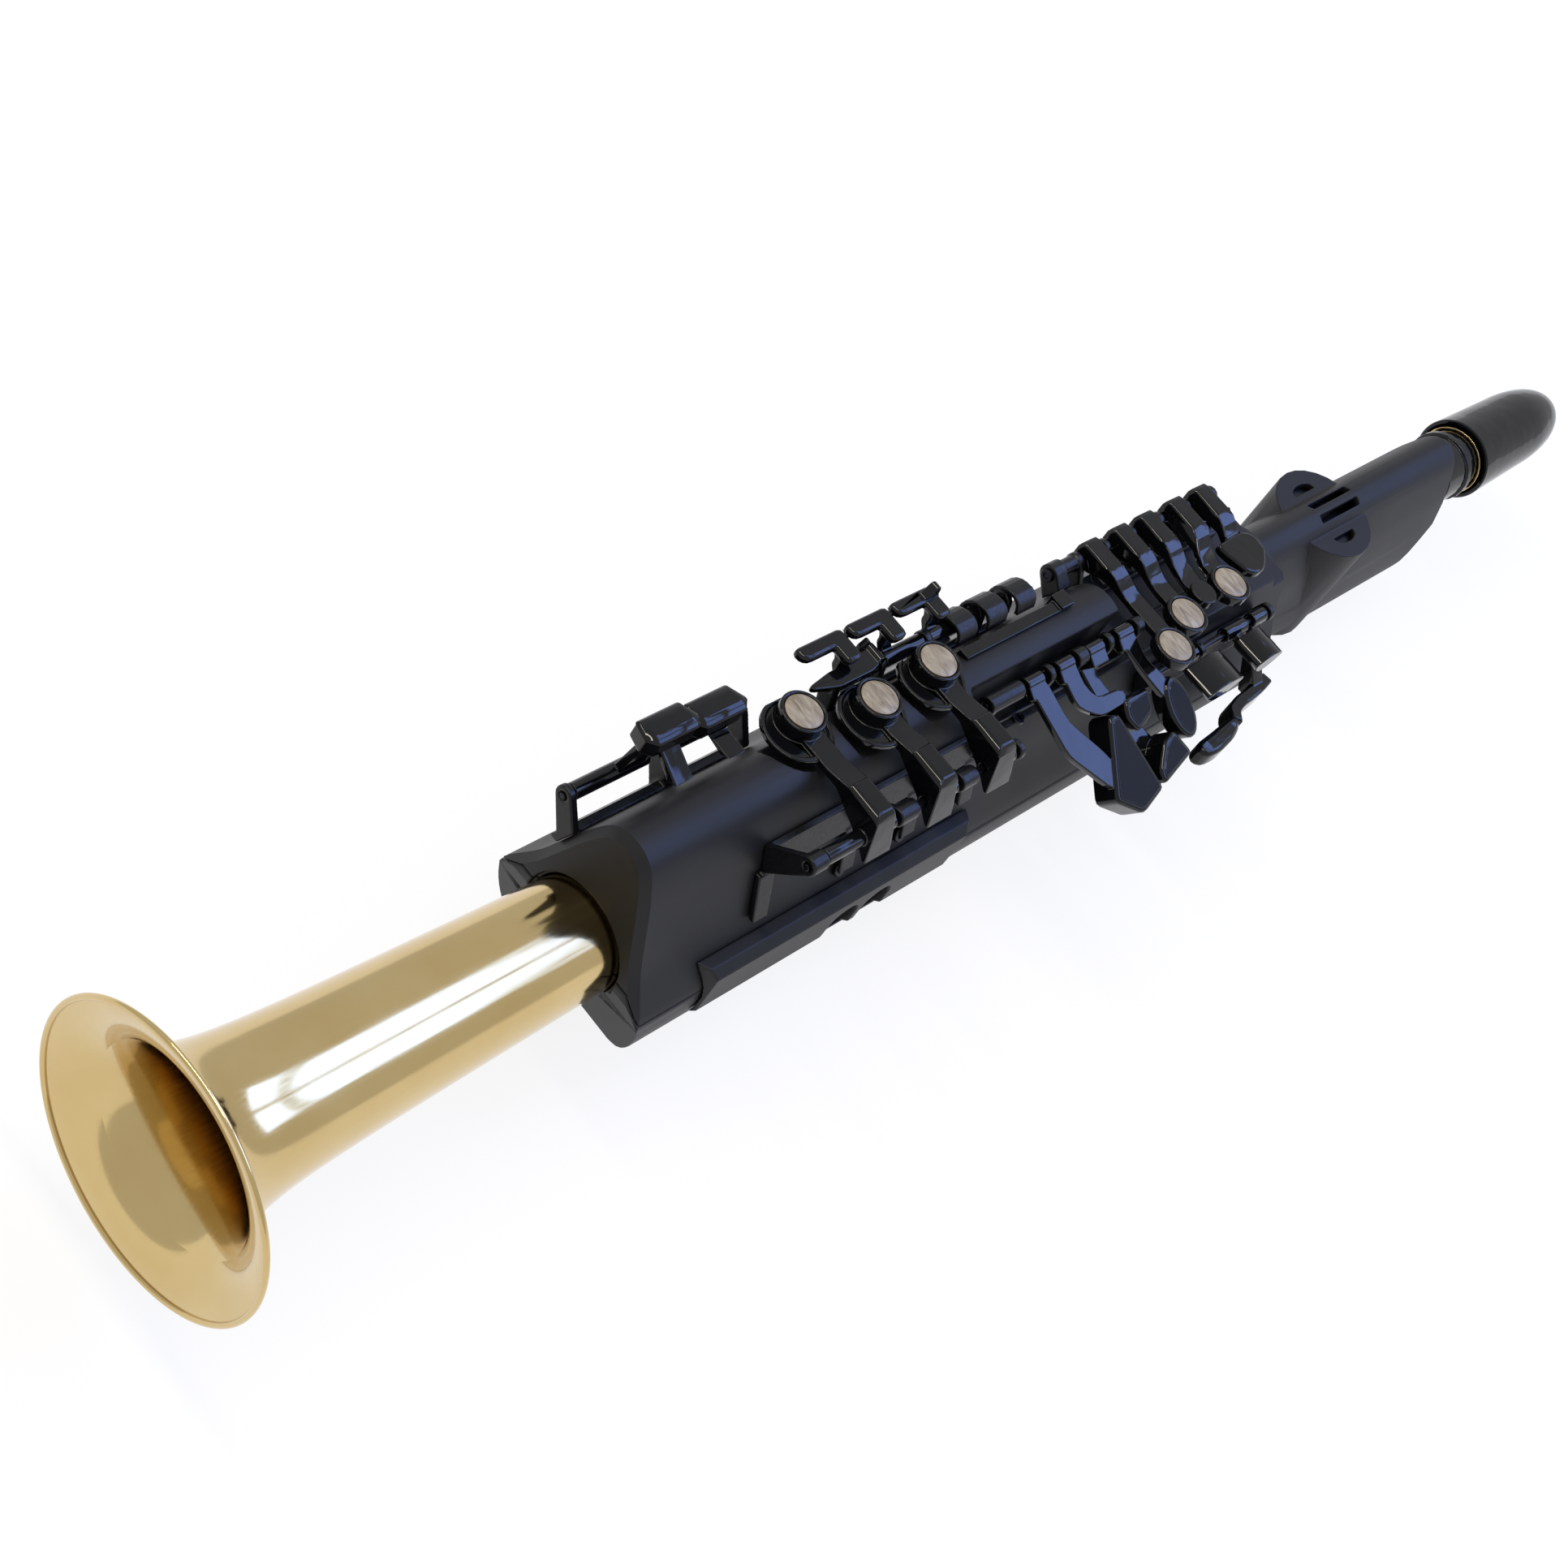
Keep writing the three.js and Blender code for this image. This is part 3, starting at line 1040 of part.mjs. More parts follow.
// Tenon, mouthpiece, reed, ligature and cap
function makeMouthpiece() {
  const sleeve = join(
    barX(tenon.radius - clearance, neckEnd - neck.wall - overrun, tenonEnd, 0, 0),
    barX(tenon.flange, neckEnd - neck.wall - overrun, neckEnd - neck.wall - clearance, 0, 0));
  add('mouthpiece_tenon', cut(sleeve, barX(tenon.boreRadius, tenonStart - overrun * 2,
    tenonEnd + overrun, 0, 0)), corkFinish);

  const m = mouth;
  const ringX = mouthStart + m.ringFrom;
  const blank = turned([
    [mouthStart, m.windRadius], [mouthStart, m.shankRadius], [ringX, m.shankRadius],
    [ringX, m.shankRadius + m.ringRise],
    [ringX + m.ringWidth, m.shankRadius + m.ringRise], [ringX + m.ringWidth, m.waistRadius],
    [mouthEnd - m.beakLength, m.waistRadius], [mouthEnd, m.tipRadius], [mouthEnd, m.windRadius],
  ], facets.disc);
  const socket = barX(tenon.radius + clearance, mouthStart - overrun, mouthStart + m.boreDepth, 0, 0);
  const beak = alongY([
    [mouthEnd - m.beakLength, m.waistRadius + overrun], [mouthEnd + overrun, m.waistRadius + overrun],
    [mouthEnd + overrun, -m.beakDrop], [mouthEnd, -m.beakDrop],
    [mouthEnd - m.beakLength, m.waistRadius - clearance],
  ], -m.shankRadius - overrun, m.shankRadius + overrun);
  const flat = box(reedStart - clearance, mouthEnd + overrun, -m.shankRadius, m.shankRadius,
    -m.shankRadius - overrun, -reed.seat);
  add('mouthpiece', cut(blank, socket, beak, flat), glossFinish);
  const reedTop = -reed.seat - clearance;
  const blade = alongY([
    [reedStart, reedTop], [reedEnd, reedTop], [reedEnd, reedTop - reed.thick / 5],
    [(reedStart + reedEnd) / 2, reedTop - reed.thick], [reedStart, reedTop - reed.thick],
  ], -reed.halfWidth, reed.halfWidth);
  add('reed', blade, caneFinish);

  const bandInner = m.waistRadius + clearance;
  const bandStart = mouthStart + ligature.from;
  const bandEnd = bandStart + ligature.length;
  const band = cut(
    barX(bandInner + ligature.wall, bandStart, bandEnd, 0, 0, facets.disc),
    barX(bandInner, bandStart - overrun, bandEnd + overrun, 0, 0, facets.disc));
  add('ligature', band, brassFinish);

  const capRim = mouthStart + cap.from;
  const capEnd = mouthEnd + cap.noseGap;
  const domeStart = capEnd - cap.noseLength;
  const shoulder = capRadius - cap.taper;
  const dome = (radius, end) => Array.from({ length: cap.steps }, (_, i) => {
    const angle = (i + 1) / (cap.steps + 1) * Math.PI / 2;
    return [domeStart + (end - domeStart) * Math.sin(angle), radius * Math.cos(angle) ** cap.fullness];
  });
  const shell = turned([
    [capRim, capRadius - cap.wall], [capRim, capRadius], [domeStart, shoulder], ...dome(shoulder, capEnd),
    [capEnd, 0], [capEnd - cap.wall, 0], ...dome(shoulder - cap.wall, capEnd - cap.wall).reverse(),
    [domeStart, shoulder - cap.wall],
  ], facets.disc);
  add('mouthpiece_cap', shell, glossFinish);
}

// Back of the instrument: thumb hook on its slide, strap ring, thumb rest, octave key, lever, buttons
const hook = { toEnd: 177, plateLong: 26, plateHalf: 8, plate: 2.2, drop: 20, thick: 3, lip: 7 };
const ring = { toEnd: 147, radius: 7.5, wire: 1.8, base: 3, baseHalf: 6, baseWide: 4 };
const rest = { toEnd: 75, radius: 9, rise: 3.4, base: 1.6 };
const octave = {
  pivotToEnd: 35, length: 27, halfWidth: 6, thick: 2.4, barrelRadius: 2.4, drop: 5.6, ear: 2.2,
};

function makeBackControls() {
  const face = -body.back;
  const seat = face - clearance;
  const hookX = body.end - hook.toEnd;
  const ringX = body.end - ring.toEnd;
  const restX = body.end - rest.toEnd;
  const pivotX = body.end - octave.pivotToEnd;
  const plate = box(hookX - hook.plateLong / 2, hookX + hook.plateLong / 2, -hook.plateHalf, hook.plateHalf,
    seat - hook.plate, seat);
  const curl = alongX([
    [-hook.plateHalf, seat - hook.plate / 2], [hook.plateHalf, seat - hook.plate / 2],
    [hook.plateHalf, seat - hook.plate], [-hook.plateHalf + hook.thick, seat - hook.plate - hook.thick / 2],
    [-hook.plateHalf + hook.thick, seat - hook.drop + hook.thick],
    [hook.lip, seat - hook.drop + hook.thick],
    [hook.lip, seat - hook.drop], [-hook.plateHalf, seat - hook.drop],
  ], hookX - hook.thick, hookX + hook.thick);
  add('thumb_hook', join(plate, curl), glossFinish);

  const eye = new THREE.TorusGeometry(ring.radius, ring.wire, facets.small, facets.pearl);
  eye.rotateX(Math.PI / 2).translate(ringX, 0, seat - ring.base - ring.radius);
  const foot = box(ringX - ring.baseHalf, ringX + ring.baseHalf, -ring.baseWide, ring.baseWide,
    seat - ring.base - ring.wire / 2, seat);
  add('strap_ring', join(eye, foot), brassFinish);

  const pivotZ = seat - octave.drop;
  const blade = box(pivotX - octave.length, pivotX, -octave.halfWidth, octave.halfWidth,
    pivotZ - octave.thick / 2, pivotZ + octave.thick / 2);
  const hub = barY(octave.barrelRadius, -octave.halfWidth, octave.halfWidth, pivotX, pivotZ);
  const bore = barY(boreRadius, -octave.halfWidth - overrun, octave.halfWidth + overrun, pivotX, pivotZ);
  add('octave_key', cut(join(blade, hub), bore), glossFinish);

  const base = box(restX - rest.radius, pivotX + octave.barrelRadius * 2, -rest.radius, rest.radius,
    seat - rest.base, seat);
  const pad = barZ(rest.radius, seat - rest.rise, seat, restX, 0);
  const ears = pivotEars(pivotX, pivotZ, seat - rest.base / 2, octave.halfWidth, octave.ear,
    octave.barrelRadius);
  add('thumb_rest', join(base, pad, ears), rubberFinish);

  const inside = floorTop + clearance;
  add('power_button', join(
    barZ(button.radius, face - button.rise, inside, buttonX, 0, facets.barrel),
    barZ(button.radius + button.plate, inside, inside + button.plate, buttonX, 0, facets.barrel)),
  rubberFinish);
}

// Two ears under a seat with a pin between them
function pivotEars(x, z, seat, halfWidth, thick, radius) {
  const ears = [-1, 1].map((side) => {
    const near = side * (halfWidth + clearance);
    const farther = side * (halfWidth + clearance + thick);
    const outline = lug([x, z], radius, [x - radius, seat], [x + radius, seat]);
    return alongY(outline, Math.min(near, farther), Math.max(near, farther));
  });
  const pin = barY(rodRadius, -halfWidth - clearance - thick, halfWidth + clearance + thick, x, z,
    facets.small);
  return join(...ears, pin);
}

makeBell();
makeBody();
makeInside();
makeSocketBlock();
makeStrip();
makeRightKeys();
makeLeftKeys();
makeLowKeys();
makeSideKeys();
makeTableKeys();
makePalmKeys();
makeRods();
makeNeck();
makeNeckInside();
makeMouthpiece();
makeBackControls();

// Origin: the middle of the rest pad on the back of the body
instrument.position.set(-padX, 0, body.back + restPad.proud);

export default instrument;
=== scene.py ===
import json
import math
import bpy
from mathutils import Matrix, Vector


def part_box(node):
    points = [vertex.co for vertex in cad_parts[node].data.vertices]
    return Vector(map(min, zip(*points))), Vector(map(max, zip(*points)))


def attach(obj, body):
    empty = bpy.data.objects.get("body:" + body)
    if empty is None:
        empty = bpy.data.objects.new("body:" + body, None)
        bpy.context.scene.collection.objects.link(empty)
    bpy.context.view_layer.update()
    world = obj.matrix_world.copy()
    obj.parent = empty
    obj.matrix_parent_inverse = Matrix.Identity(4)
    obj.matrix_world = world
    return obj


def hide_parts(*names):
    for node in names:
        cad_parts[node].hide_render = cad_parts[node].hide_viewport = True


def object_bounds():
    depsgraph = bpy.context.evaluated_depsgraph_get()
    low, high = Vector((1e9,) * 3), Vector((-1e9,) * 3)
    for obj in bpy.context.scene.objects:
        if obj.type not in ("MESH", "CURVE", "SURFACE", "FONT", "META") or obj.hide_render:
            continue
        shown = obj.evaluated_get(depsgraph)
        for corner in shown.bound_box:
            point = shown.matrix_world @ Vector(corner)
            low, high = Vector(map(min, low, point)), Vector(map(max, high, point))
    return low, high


bl_info = {
    "name": "Digital wind controller",
    "version": (1, 0, 0),
    "blender": (4, 5, 0),
    "location": "View3D > Sidebar > Wind controller",
    "description": "Dresses the packed solids of a straight digital wind controller",
    "category": "Object",
}

from functools import partial

import bpy
from bpy.props import FloatProperty, FloatVectorProperty, PointerProperty, StringProperty
from mathutils import Matrix, Vector

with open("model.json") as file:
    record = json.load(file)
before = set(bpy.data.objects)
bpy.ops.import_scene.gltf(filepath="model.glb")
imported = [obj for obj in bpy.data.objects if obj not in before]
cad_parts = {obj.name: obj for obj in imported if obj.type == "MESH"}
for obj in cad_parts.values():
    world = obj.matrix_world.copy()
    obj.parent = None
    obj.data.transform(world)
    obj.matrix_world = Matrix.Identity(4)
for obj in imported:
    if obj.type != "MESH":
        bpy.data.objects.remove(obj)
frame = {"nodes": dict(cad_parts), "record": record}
cad_low, cad_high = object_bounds()

MM = 0.001
BODY_OF = {node: body for body, nodes in frame["record"]["behaviour"]["bodies"].items() for node in nodes}
SLOT_OF = {part["node"]: part["material_slot"] for part in frame["record"]["subparts"]}

# The radius of the bead round the rim of the bell's solid, the instrument's long axis and the rim's plane
BEAD = 0.9 * MM
bell_low, bell_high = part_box("bell")
AXIS_Z = (bell_low.z + bell_high.z) / 2
RIM_X = bell_low.x + BEAD

# How close vertices lie that count as one, in a node's loose triangles and in turned work
NODE_MERGE = 0.002 * MM
SPIN_MERGE = 0.001 * MM
# How far a vertex may lie from the line or height that it is looked for at
HAIR = 0.1 * MM
# Edges of the shells that bend less than this many degrees aren't bevelled
SHELL_LIMIT = 50


def spot(x, y, z):
    """A place in millimetres from the centre of the bell's rim, in the frame's metres"""
    return Vector((RIM_X + x * MM, y * MM, AXIS_Z + z * MM))


# Sizes and colours that a user would change

def length(name, description, millimetres):
    return FloatProperty(
        name=name, description=description, default=millimetres * MM, unit="LENGTH", precision=5)


def colour(name, description, default):
    return StringProperty(name=name, description=description, default=default)


class WindSizes(bpy.types.PropertyGroup):
    rim_radius: length("Rim radius", "Radius of the bell's rim, bead included", 44.5)
    bead_radius: length("Bead radius", "Radius of the wire rolled into the rim", 0.95)
    throat_radius: length("Throat radius", "Radius that the flare runs into", 21.86)
    tube_radius: length("Tube radius", "Radius of the bell's tube where it enters the body", 17.8)
    tube_length: length("Tube length", "From the rim to where the tube stops tapering", 139.5)
    flare_reach: length("Flare reach", "Length over which the flare opens", 6.3)
    bell_wall: length("Bell wall", "Thickness of the sheet brass", 1)
    key_round: length("Key rounding", "Grain of the rounding of small mouldings", 0.3)
    key_edge: length("Key edge", "Width of the rounded edges of the keys", 0.45)
    frame_round: length("Frame rounding", "Grain of the rounding of hinge frames", 0.34)
    shell_edge: length("Shell edge", "Width of the rounded edges of the body's mouldings", 0.5)
    bar_edge: length("Bar edge", "Width of the soft edge along the root bars of the keys", 2.6)
    touch_edge: length("Touch edge", "Width of the soft edge round the tops of the low keys", 1.7)
    palm_crown: length("Palm crown", "How far the ends of a palm key's touch fall below its middle", 2.6)
    pad_rim: length("Pad rim", "Width of the gloss rim round the pad of a table key", 0.35)
    pad_rise: length("Pad rise", "How far the pad of a table key stands up from its rim", 0.18)
    pearl_radius: length("Pearl radius", "Radius of a pearl", 6.05)
    cup_radius: length("Cup radius", "Radius of the cup round a pearl", 7.42)
    cup_gap: length("Cup gap", "Gap between a pearl and its cup", 0.2)
    cup_drop: length("Cup drop", "How far a cup's shoulder lies below the top of its pearl", 0.8)
    cup_depth: length("Cup depth", "How far a cup reaches down from its shoulder", 2)
    screw_radius: length("Screw radius", "Radius of the heads of the frame screws", 2.3)
    screw_height: length("Screw height", "Height of the heads of the frame screws", 1.1)
    screw_edge: length("Screw edge", "Bevel round the heads of the frame screws", 0.25)
    screw_sink: length("Screw sink", "How far a screw's head reaches into what it holds", 0.2)
    rod_edge: length("Rod edge", "Bevel at the ends of the hinge rods", 0.2)
    cap_wall: length("Cap wall", "Thickness of the mouthpiece cap", 1.7)
    cap_side: length("Cap side", "Length of the cap's side before its dome", 39)
    cap_shoulder: length("Cap shoulder", "Radius of the cap where its dome starts", 14.9)
    cap_lip: length("Cap lip", "Bevel round the outside of the cap's mouth", 0.5)
    cap_mouth: length("Cap mouth", "Bevel round the inside of the cap's mouth", 0.3)


class WindColours(bpy.types.PropertyGroup):
    brass: colour("Brass", "Lacquered brass of the bell", "#D6BE88")
    brass_deep: colour("Deep brass", "Brass where the lacquer lies thicker", "#C6A96C")
    matte: colour("Matt moulding", "Body and neck mouldings", "#1B1B1D")
    gloss: colour("Gloss moulding", "Keys and mouthpiece", "#08090B")
    pearl_light: colour("Light pearl", "Bright streaks of the pearls", "#9E9480")
    pearl_dark: colour("Dark pearl", "Dark streaks of the pearls", "#6B604E")
    pearl_shade: colour("Pearl edge", "Thick edge of a pearl, seen through its side", "#4A3730")
    # Painted shade: the dark brown of the pearls' sides, which turn away from the light above
    steel: colour("Black steel", "Blackened hinge rods and screws", "#26282D")
    rubber: colour("Rubber", "Collar, thumb rest and button", "#141517")
    floor: colour("Floor", "Pale floor under the instrument", "#F4F4F4")
    room: colour("Room", "Light from all round the instrument", "#F2F3F5")
    window: colour("Window", "Cool light from the window", "#84A6FF")
    ceiling: colour("Ceiling", "Warm light from the ceiling tube", "#FFF4E2")


class WindStage(bpy.types.PropertyGroup):
    lens: FloatProperty(
        name="Lens", description="Focal length on a 36 mm sensor", default=60.6, unit="CAMERA")
    camera_place: FloatVectorProperty(
        name="Camera", description="Place of the camera", default=spot(-282.8, -173.9, 568.6),
        subtype="TRANSLATION")
    camera_right: FloatVectorProperty(
        name="Right", description="The picture's right", default=(0.6671, -0.6228, 0.4088),
        subtype="DIRECTION")
    camera_up: FloatVectorProperty(
        name="Up", description="The picture's up", default=(0.3522, 0.7471, 0.5637), subtype="DIRECTION")
    floor_size: FloatProperty(name="Floor", description="Width of the floor", default=12, unit="LENGTH")
    pane_power: FloatProperty(
        name="Pane power", description="Light from each pane of the window", default=28, unit="POWER")
    tube_power: FloatProperty(
        name="Tube power", description="Light from the ceiling tube", default=20, unit="POWER")
    room_strength: FloatProperty(
        name="Room strength", description="Strength of the light from all round", default=0.75)


def sizes():
    return bpy.context.scene.wind_sizes


def colours():
    return bpy.context.scene.wind_colours


# Small helpers

def only(piece):
    """Selects one object and makes it active"""
    bpy.ops.object.select_all(action="DESELECT")
    piece.select_set(True)
    bpy.context.view_layer.objects.active = piece


def only_nothing():
    bpy.ops.object.select_all(action="DESELECT")


def apply_modifier(piece, kind, **settings):
    only(piece)
    bpy.ops.object.modifier_add(type=kind)
    modifier = piece.modifiers[-1]
    for name, value in settings.items():
        setattr(modifier, name, value)
    bpy.ops.object.modifier_apply(modifier=modifier.name)


def merged_copy(node, name):
    """A copy of a node's mesh with its loose triangles joined"""
    piece = bpy.data.objects.new(name, frame["nodes"][node].data.copy())
    bpy.context.scene.collection.objects.link(piece)
    piece.data.materials.clear()
    only(piece)
    bpy.ops.object.mode_set(mode="EDIT")
    bpy.ops.mesh.select_all(action="SELECT")
    bpy.ops.mesh.remove_doubles(threshold=NODE_MERGE)
    bpy.ops.object.mode_set(mode="OBJECT")
    return piece


def turned(name, profile, steps, centre, axis):
    """Turned work: a point drawn along a profile, then spun round an axis"""
    only_nothing()
    bpy.ops.mesh.primitive_plane_add(size=MM)
    piece = bpy.context.object
    piece.name = name
    bpy.ops.object.mode_set(mode="EDIT")
    bpy.ops.mesh.select_mode(type="VERT")
    bpy.ops.mesh.merge(type="CENTER")
    bpy.ops.transform.translate(value=profile[0])
    for here, there in zip(profile, profile[1:]):
        bpy.ops.mesh.extrude_region_move(TRANSFORM_OT_translate={"value": there - here})
    bpy.ops.mesh.select_all(action="SELECT")
    bpy.ops.mesh.spin(steps=steps, angle=math.tau, center=centre, axis=axis)
    bpy.ops.mesh.select_all(action="SELECT")
    bpy.ops.mesh.remove_doubles(threshold=SPIN_MERGE)
    bpy.ops.mesh.normals_make_consistent(inside=False)
    bpy.ops.object.mode_set(mode="OBJECT")
    return piece


def smooth(piece, degrees=35):
    """Shades a piece smooth, but for edges sharper than that"""
    only(piece)
    bpy.ops.object.shade_smooth_by_angle(angle=math.radians(degrees))


def finish_piece(piece, body, material, replaces=()):
    """Gives a piece its finish, the body that it rides on and the nodes that it stands for"""
    if not piece.data.materials:
        piece.data.materials.append(material)
    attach(piece, body)
    if replaces:
        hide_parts(*replaces)


def rounded_copy(node, name, grain, passes, material):
    """A node's form with its edges rounded as a mould leaves them"""
    piece = merged_copy(node, name)
    apply_modifier(piece, "REMESH", mode="VOXEL", voxel_size=grain)
    apply_modifier(piece, "SMOOTH", factor=0.5, iterations=passes)
    only(piece)
    bpy.ops.object.shade_smooth()
    finish_piece(piece, BODY_OF[node], material, [node])


def choose(piece, kind, test):
    """Selects the edges or polygons of a mesh that pass a test, and leaves the piece in edit mode"""
    only(piece)
    bpy.ops.object.mode_set(mode="EDIT")
    bpy.ops.mesh.select_mode(type="EDGE" if kind == "edges" else "FACE")
    bpy.ops.mesh.select_all(action="DESELECT")
    bpy.ops.object.mode_set(mode="OBJECT")
    for part in getattr(piece.data, kind):
        part.select = test(part)
    bpy.ops.object.mode_set(mode="EDIT")


def paint_chosen(piece, rest, chosen):
    """Gives the chosen faces one finish and the others another, and leaves edit mode"""
    piece.data.materials.append(finish(rest))
    piece.data.materials.append(finish(chosen))
    piece.active_material_index = 1
    bpy.ops.object.material_slot_assign()
    bpy.ops.object.mode_set(mode="OBJECT")


def edged_copy(node, name, width, material, limit=40, before=None, after=None):
    """A node's form with its facets merged and its sharp edges bevelled, with a step before or after"""
    flat_angle, smooth_angle, largest_faces = 0.4, 32, 80
    piece = merged_copy(node, name)
    bpy.ops.object.mode_set(mode="EDIT")
    bpy.ops.mesh.select_all(action="SELECT")
    bpy.ops.mesh.dissolve_limited(angle_limit=math.radians(flat_angle))
    bpy.ops.object.mode_set(mode="OBJECT")
    if before:
        before(piece)
    apply_modifier(piece, "BEVEL", width=width, segments=3, limit_method="ANGLE",
                   angle_limit=math.radians(limit), use_clamp_overlap=False, miter_outer="MITER_ARC")
    if after:
        after(piece)
    smooth(piece, smooth_angle)
    apply_modifier(piece, "WEIGHTED_NORMAL", keep_sharp=True, weight=largest_faces)
    finish_piece(piece, BODY_OF[node], material, [node])


# Materials

def linear(hex_colour):
    """An sRGB hex value as the linear colour that a shader takes"""
    channels = [int(hex_colour[i:i + 2], 16) / 255 for i in (1, 3, 5)]
    return tuple(c / 12.92 if c <= 0.04045 else ((c + 0.055) / 1.055) ** 2.4 for c in channels) + (1.0,)


def add_node(tree, kind, inputs=None, **settings):
    """Adds a node with its settings; an input is linked where it is given a socket and set otherwise"""
    made = tree.nodes.new(kind)
    for name, value in settings.items():
        setattr(made, name, value)
    for key, value in (inputs or {}).items():
        if isinstance(value, bpy.types.NodeSocket):
            tree.links.new(value, made.inputs[key])
        else:
            made.inputs[key].default_value = value
    return made


def new_material(name):
    """An empty material, its tree, and the Object coordinates that its patterns follow"""
    material = bpy.data.materials.new(name)
    material.use_nodes = True
    tree = material.node_tree
    tree.nodes.clear()
    return material, tree, add_node(tree, "ShaderNodeTexCoord").outputs["Object"]


def close_material(tree, shader):
    add_node(tree, "ShaderNodeOutputMaterial", {"Surface": shader.outputs["BSDF"]})


def per_metre(millimetres):
    """Scale of a texture whose features are that far apart"""
    return 1 / (millimetres * MM)


def lacquered_brass():
    """Sheet brass, spun and polished under clear lacquer: a warm mirror with faint lines along the tube"""
    material, tree, place = new_material("lacquered_brass")
    cloud = add_node(tree, "ShaderNodeTexNoise", {"Vector": place, "Scale": per_metre(22), "Detail": 3.0})
    tint = add_node(tree, "ShaderNodeMix", {
        "Factor": cloud.outputs["Fac"], "A": linear(colours().brass), "B": linear(colours().brass_deep),
    }, data_type="RGBA")
    stretch = add_node(tree, "ShaderNodeMapping", {"Vector": place, "Scale": (0.04, 1, 1)})
    lines = add_node(tree, "ShaderNodeTexNoise", {
        "Vector": stretch.outputs["Vector"], "Scale": per_metre(0.9), "Detail": 4.0})
    gloss = add_node(tree, "ShaderNodeMapRange", {
        "Value": lines.outputs["Fac"], "From Min": 0.3, "From Max": 0.7, "To Min": 0.1, "To Max": 0.19})
    bump = add_node(tree, "ShaderNodeBump", {
        "Height": lines.outputs["Fac"], "Strength": 0.05, "Distance": 0.02 * MM})
    shader = add_node(tree, "ShaderNodeBsdfPrincipled", {
        "Base Color": tint.outputs["Result"], "Metallic": 1.0, "Roughness": gloss.outputs["Result"],
        "Normal": bump.outputs["Normal"], "Coat Weight": 0.5, "Coat Roughness": 0.03})
    close_material(tree, shader)
    return material


def satin_abs():
    """ABS moulded in a fine spark-eroded tool: black with a soft, slightly cool sheen and a fine grain"""
    material, tree, place = new_material("satin_moulded_abs")
    # The real grit is about 0.15 mm; drawn at 0.5 mm so that it shows
    grit = add_node(tree, "ShaderNodeTexNoise", {"Vector": place, "Scale": per_metre(0.5), "Detail": 2.0})
    cloud = add_node(tree, "ShaderNodeTexNoise", {"Vector": place, "Scale": per_metre(60), "Detail": 2.0})
    sheen = add_node(tree, "ShaderNodeMapRange", {
        "Value": cloud.outputs["Fac"], "From Min": 0.3, "From Max": 0.7, "To Min": 0.46, "To Max": 0.52})
    tint = add_node(tree, "ShaderNodeMix", {
        "Factor": cloud.outputs["Fac"], "A": linear(colours().matte), "B": linear("#161719"),
    }, data_type="RGBA")
    bump = add_node(tree, "ShaderNodeBump", {
        "Height": grit.outputs["Fac"], "Strength": 0.25, "Distance": 0.04 * MM})
    shader = add_node(tree, "ShaderNodeBsdfPrincipled", {
        "Base Color": tint.outputs["Result"], "Roughness": sheen.outputs["Result"],
        "Normal": bump.outputs["Normal"], "IOR": 1.5, "Specular IOR Level": 0.26})
    close_material(tree, shader)
    return material


def glass_filled_nylon():
    """Glass-filled nylon of the hinge frames: black, with a dull shine and the cloudy skin of the fibres"""
    material, tree, place = new_material("glass_filled_nylon")
    # The real fibres lie about 0.3 mm apart; drawn at 1.2 mm so that the skin's clouds show
    fibres = add_node(tree, "ShaderNodeTexNoise", {"Vector": place, "Scale": per_metre(1.2), "Detail": 4.0})
    sheen = add_node(tree, "ShaderNodeMapRange", {
        "Value": fibres.outputs["Fac"], "From Min": 0.3, "From Max": 0.7, "To Min": 0.26, "To Max": 0.4})
    tint = add_node(tree, "ShaderNodeMix", {
        "Factor": fibres.outputs["Fac"], "A": linear("#07080A"), "B": linear("#0E0F12"),
    }, data_type="RGBA")
    bump = add_node(tree, "ShaderNodeBump", {
        "Height": fibres.outputs["Fac"], "Strength": 0.12, "Distance": 0.03 * MM})
    shader = add_node(tree, "ShaderNodeBsdfPrincipled", {
        "Base Color": tint.outputs["Result"], "Roughness": sheen.outputs["Result"],
        "Normal": bump.outputs["Normal"], "IOR": 1.45, "Specular IOR Level": 0.35})
    close_material(tree, shader)
    return material


def grained_abs():
    """ABS with the fine grain of the table pads: near black and dull, so that a finger does not slip"""
    material, tree, place = new_material("grained_moulded_abs")
    # The real grain is about 0.2 mm; drawn at 0.4 mm so that it shows
    grain = add_node(tree, "ShaderNodeTexNoise", {"Vector": place, "Scale": per_metre(0.4), "Detail": 3.0})
    tint = add_node(tree, "ShaderNodeMix", {
        "Factor": grain.outputs["Fac"], "A": linear("#08090B"), "B": linear("#101114"),
    }, data_type="RGBA")
    bump = add_node(tree, "ShaderNodeBump", {
        "Height": grain.outputs["Fac"], "Strength": 0.3, "Distance": 0.05 * MM})
    shader = add_node(tree, "ShaderNodeBsdfPrincipled", {
        "Base Color": tint.outputs["Result"], "Roughness": 0.62, "Normal": bump.outputs["Normal"],
        "IOR": 1.45, "Specular IOR Level": 0.25})
    close_material(tree, shader)
    return material


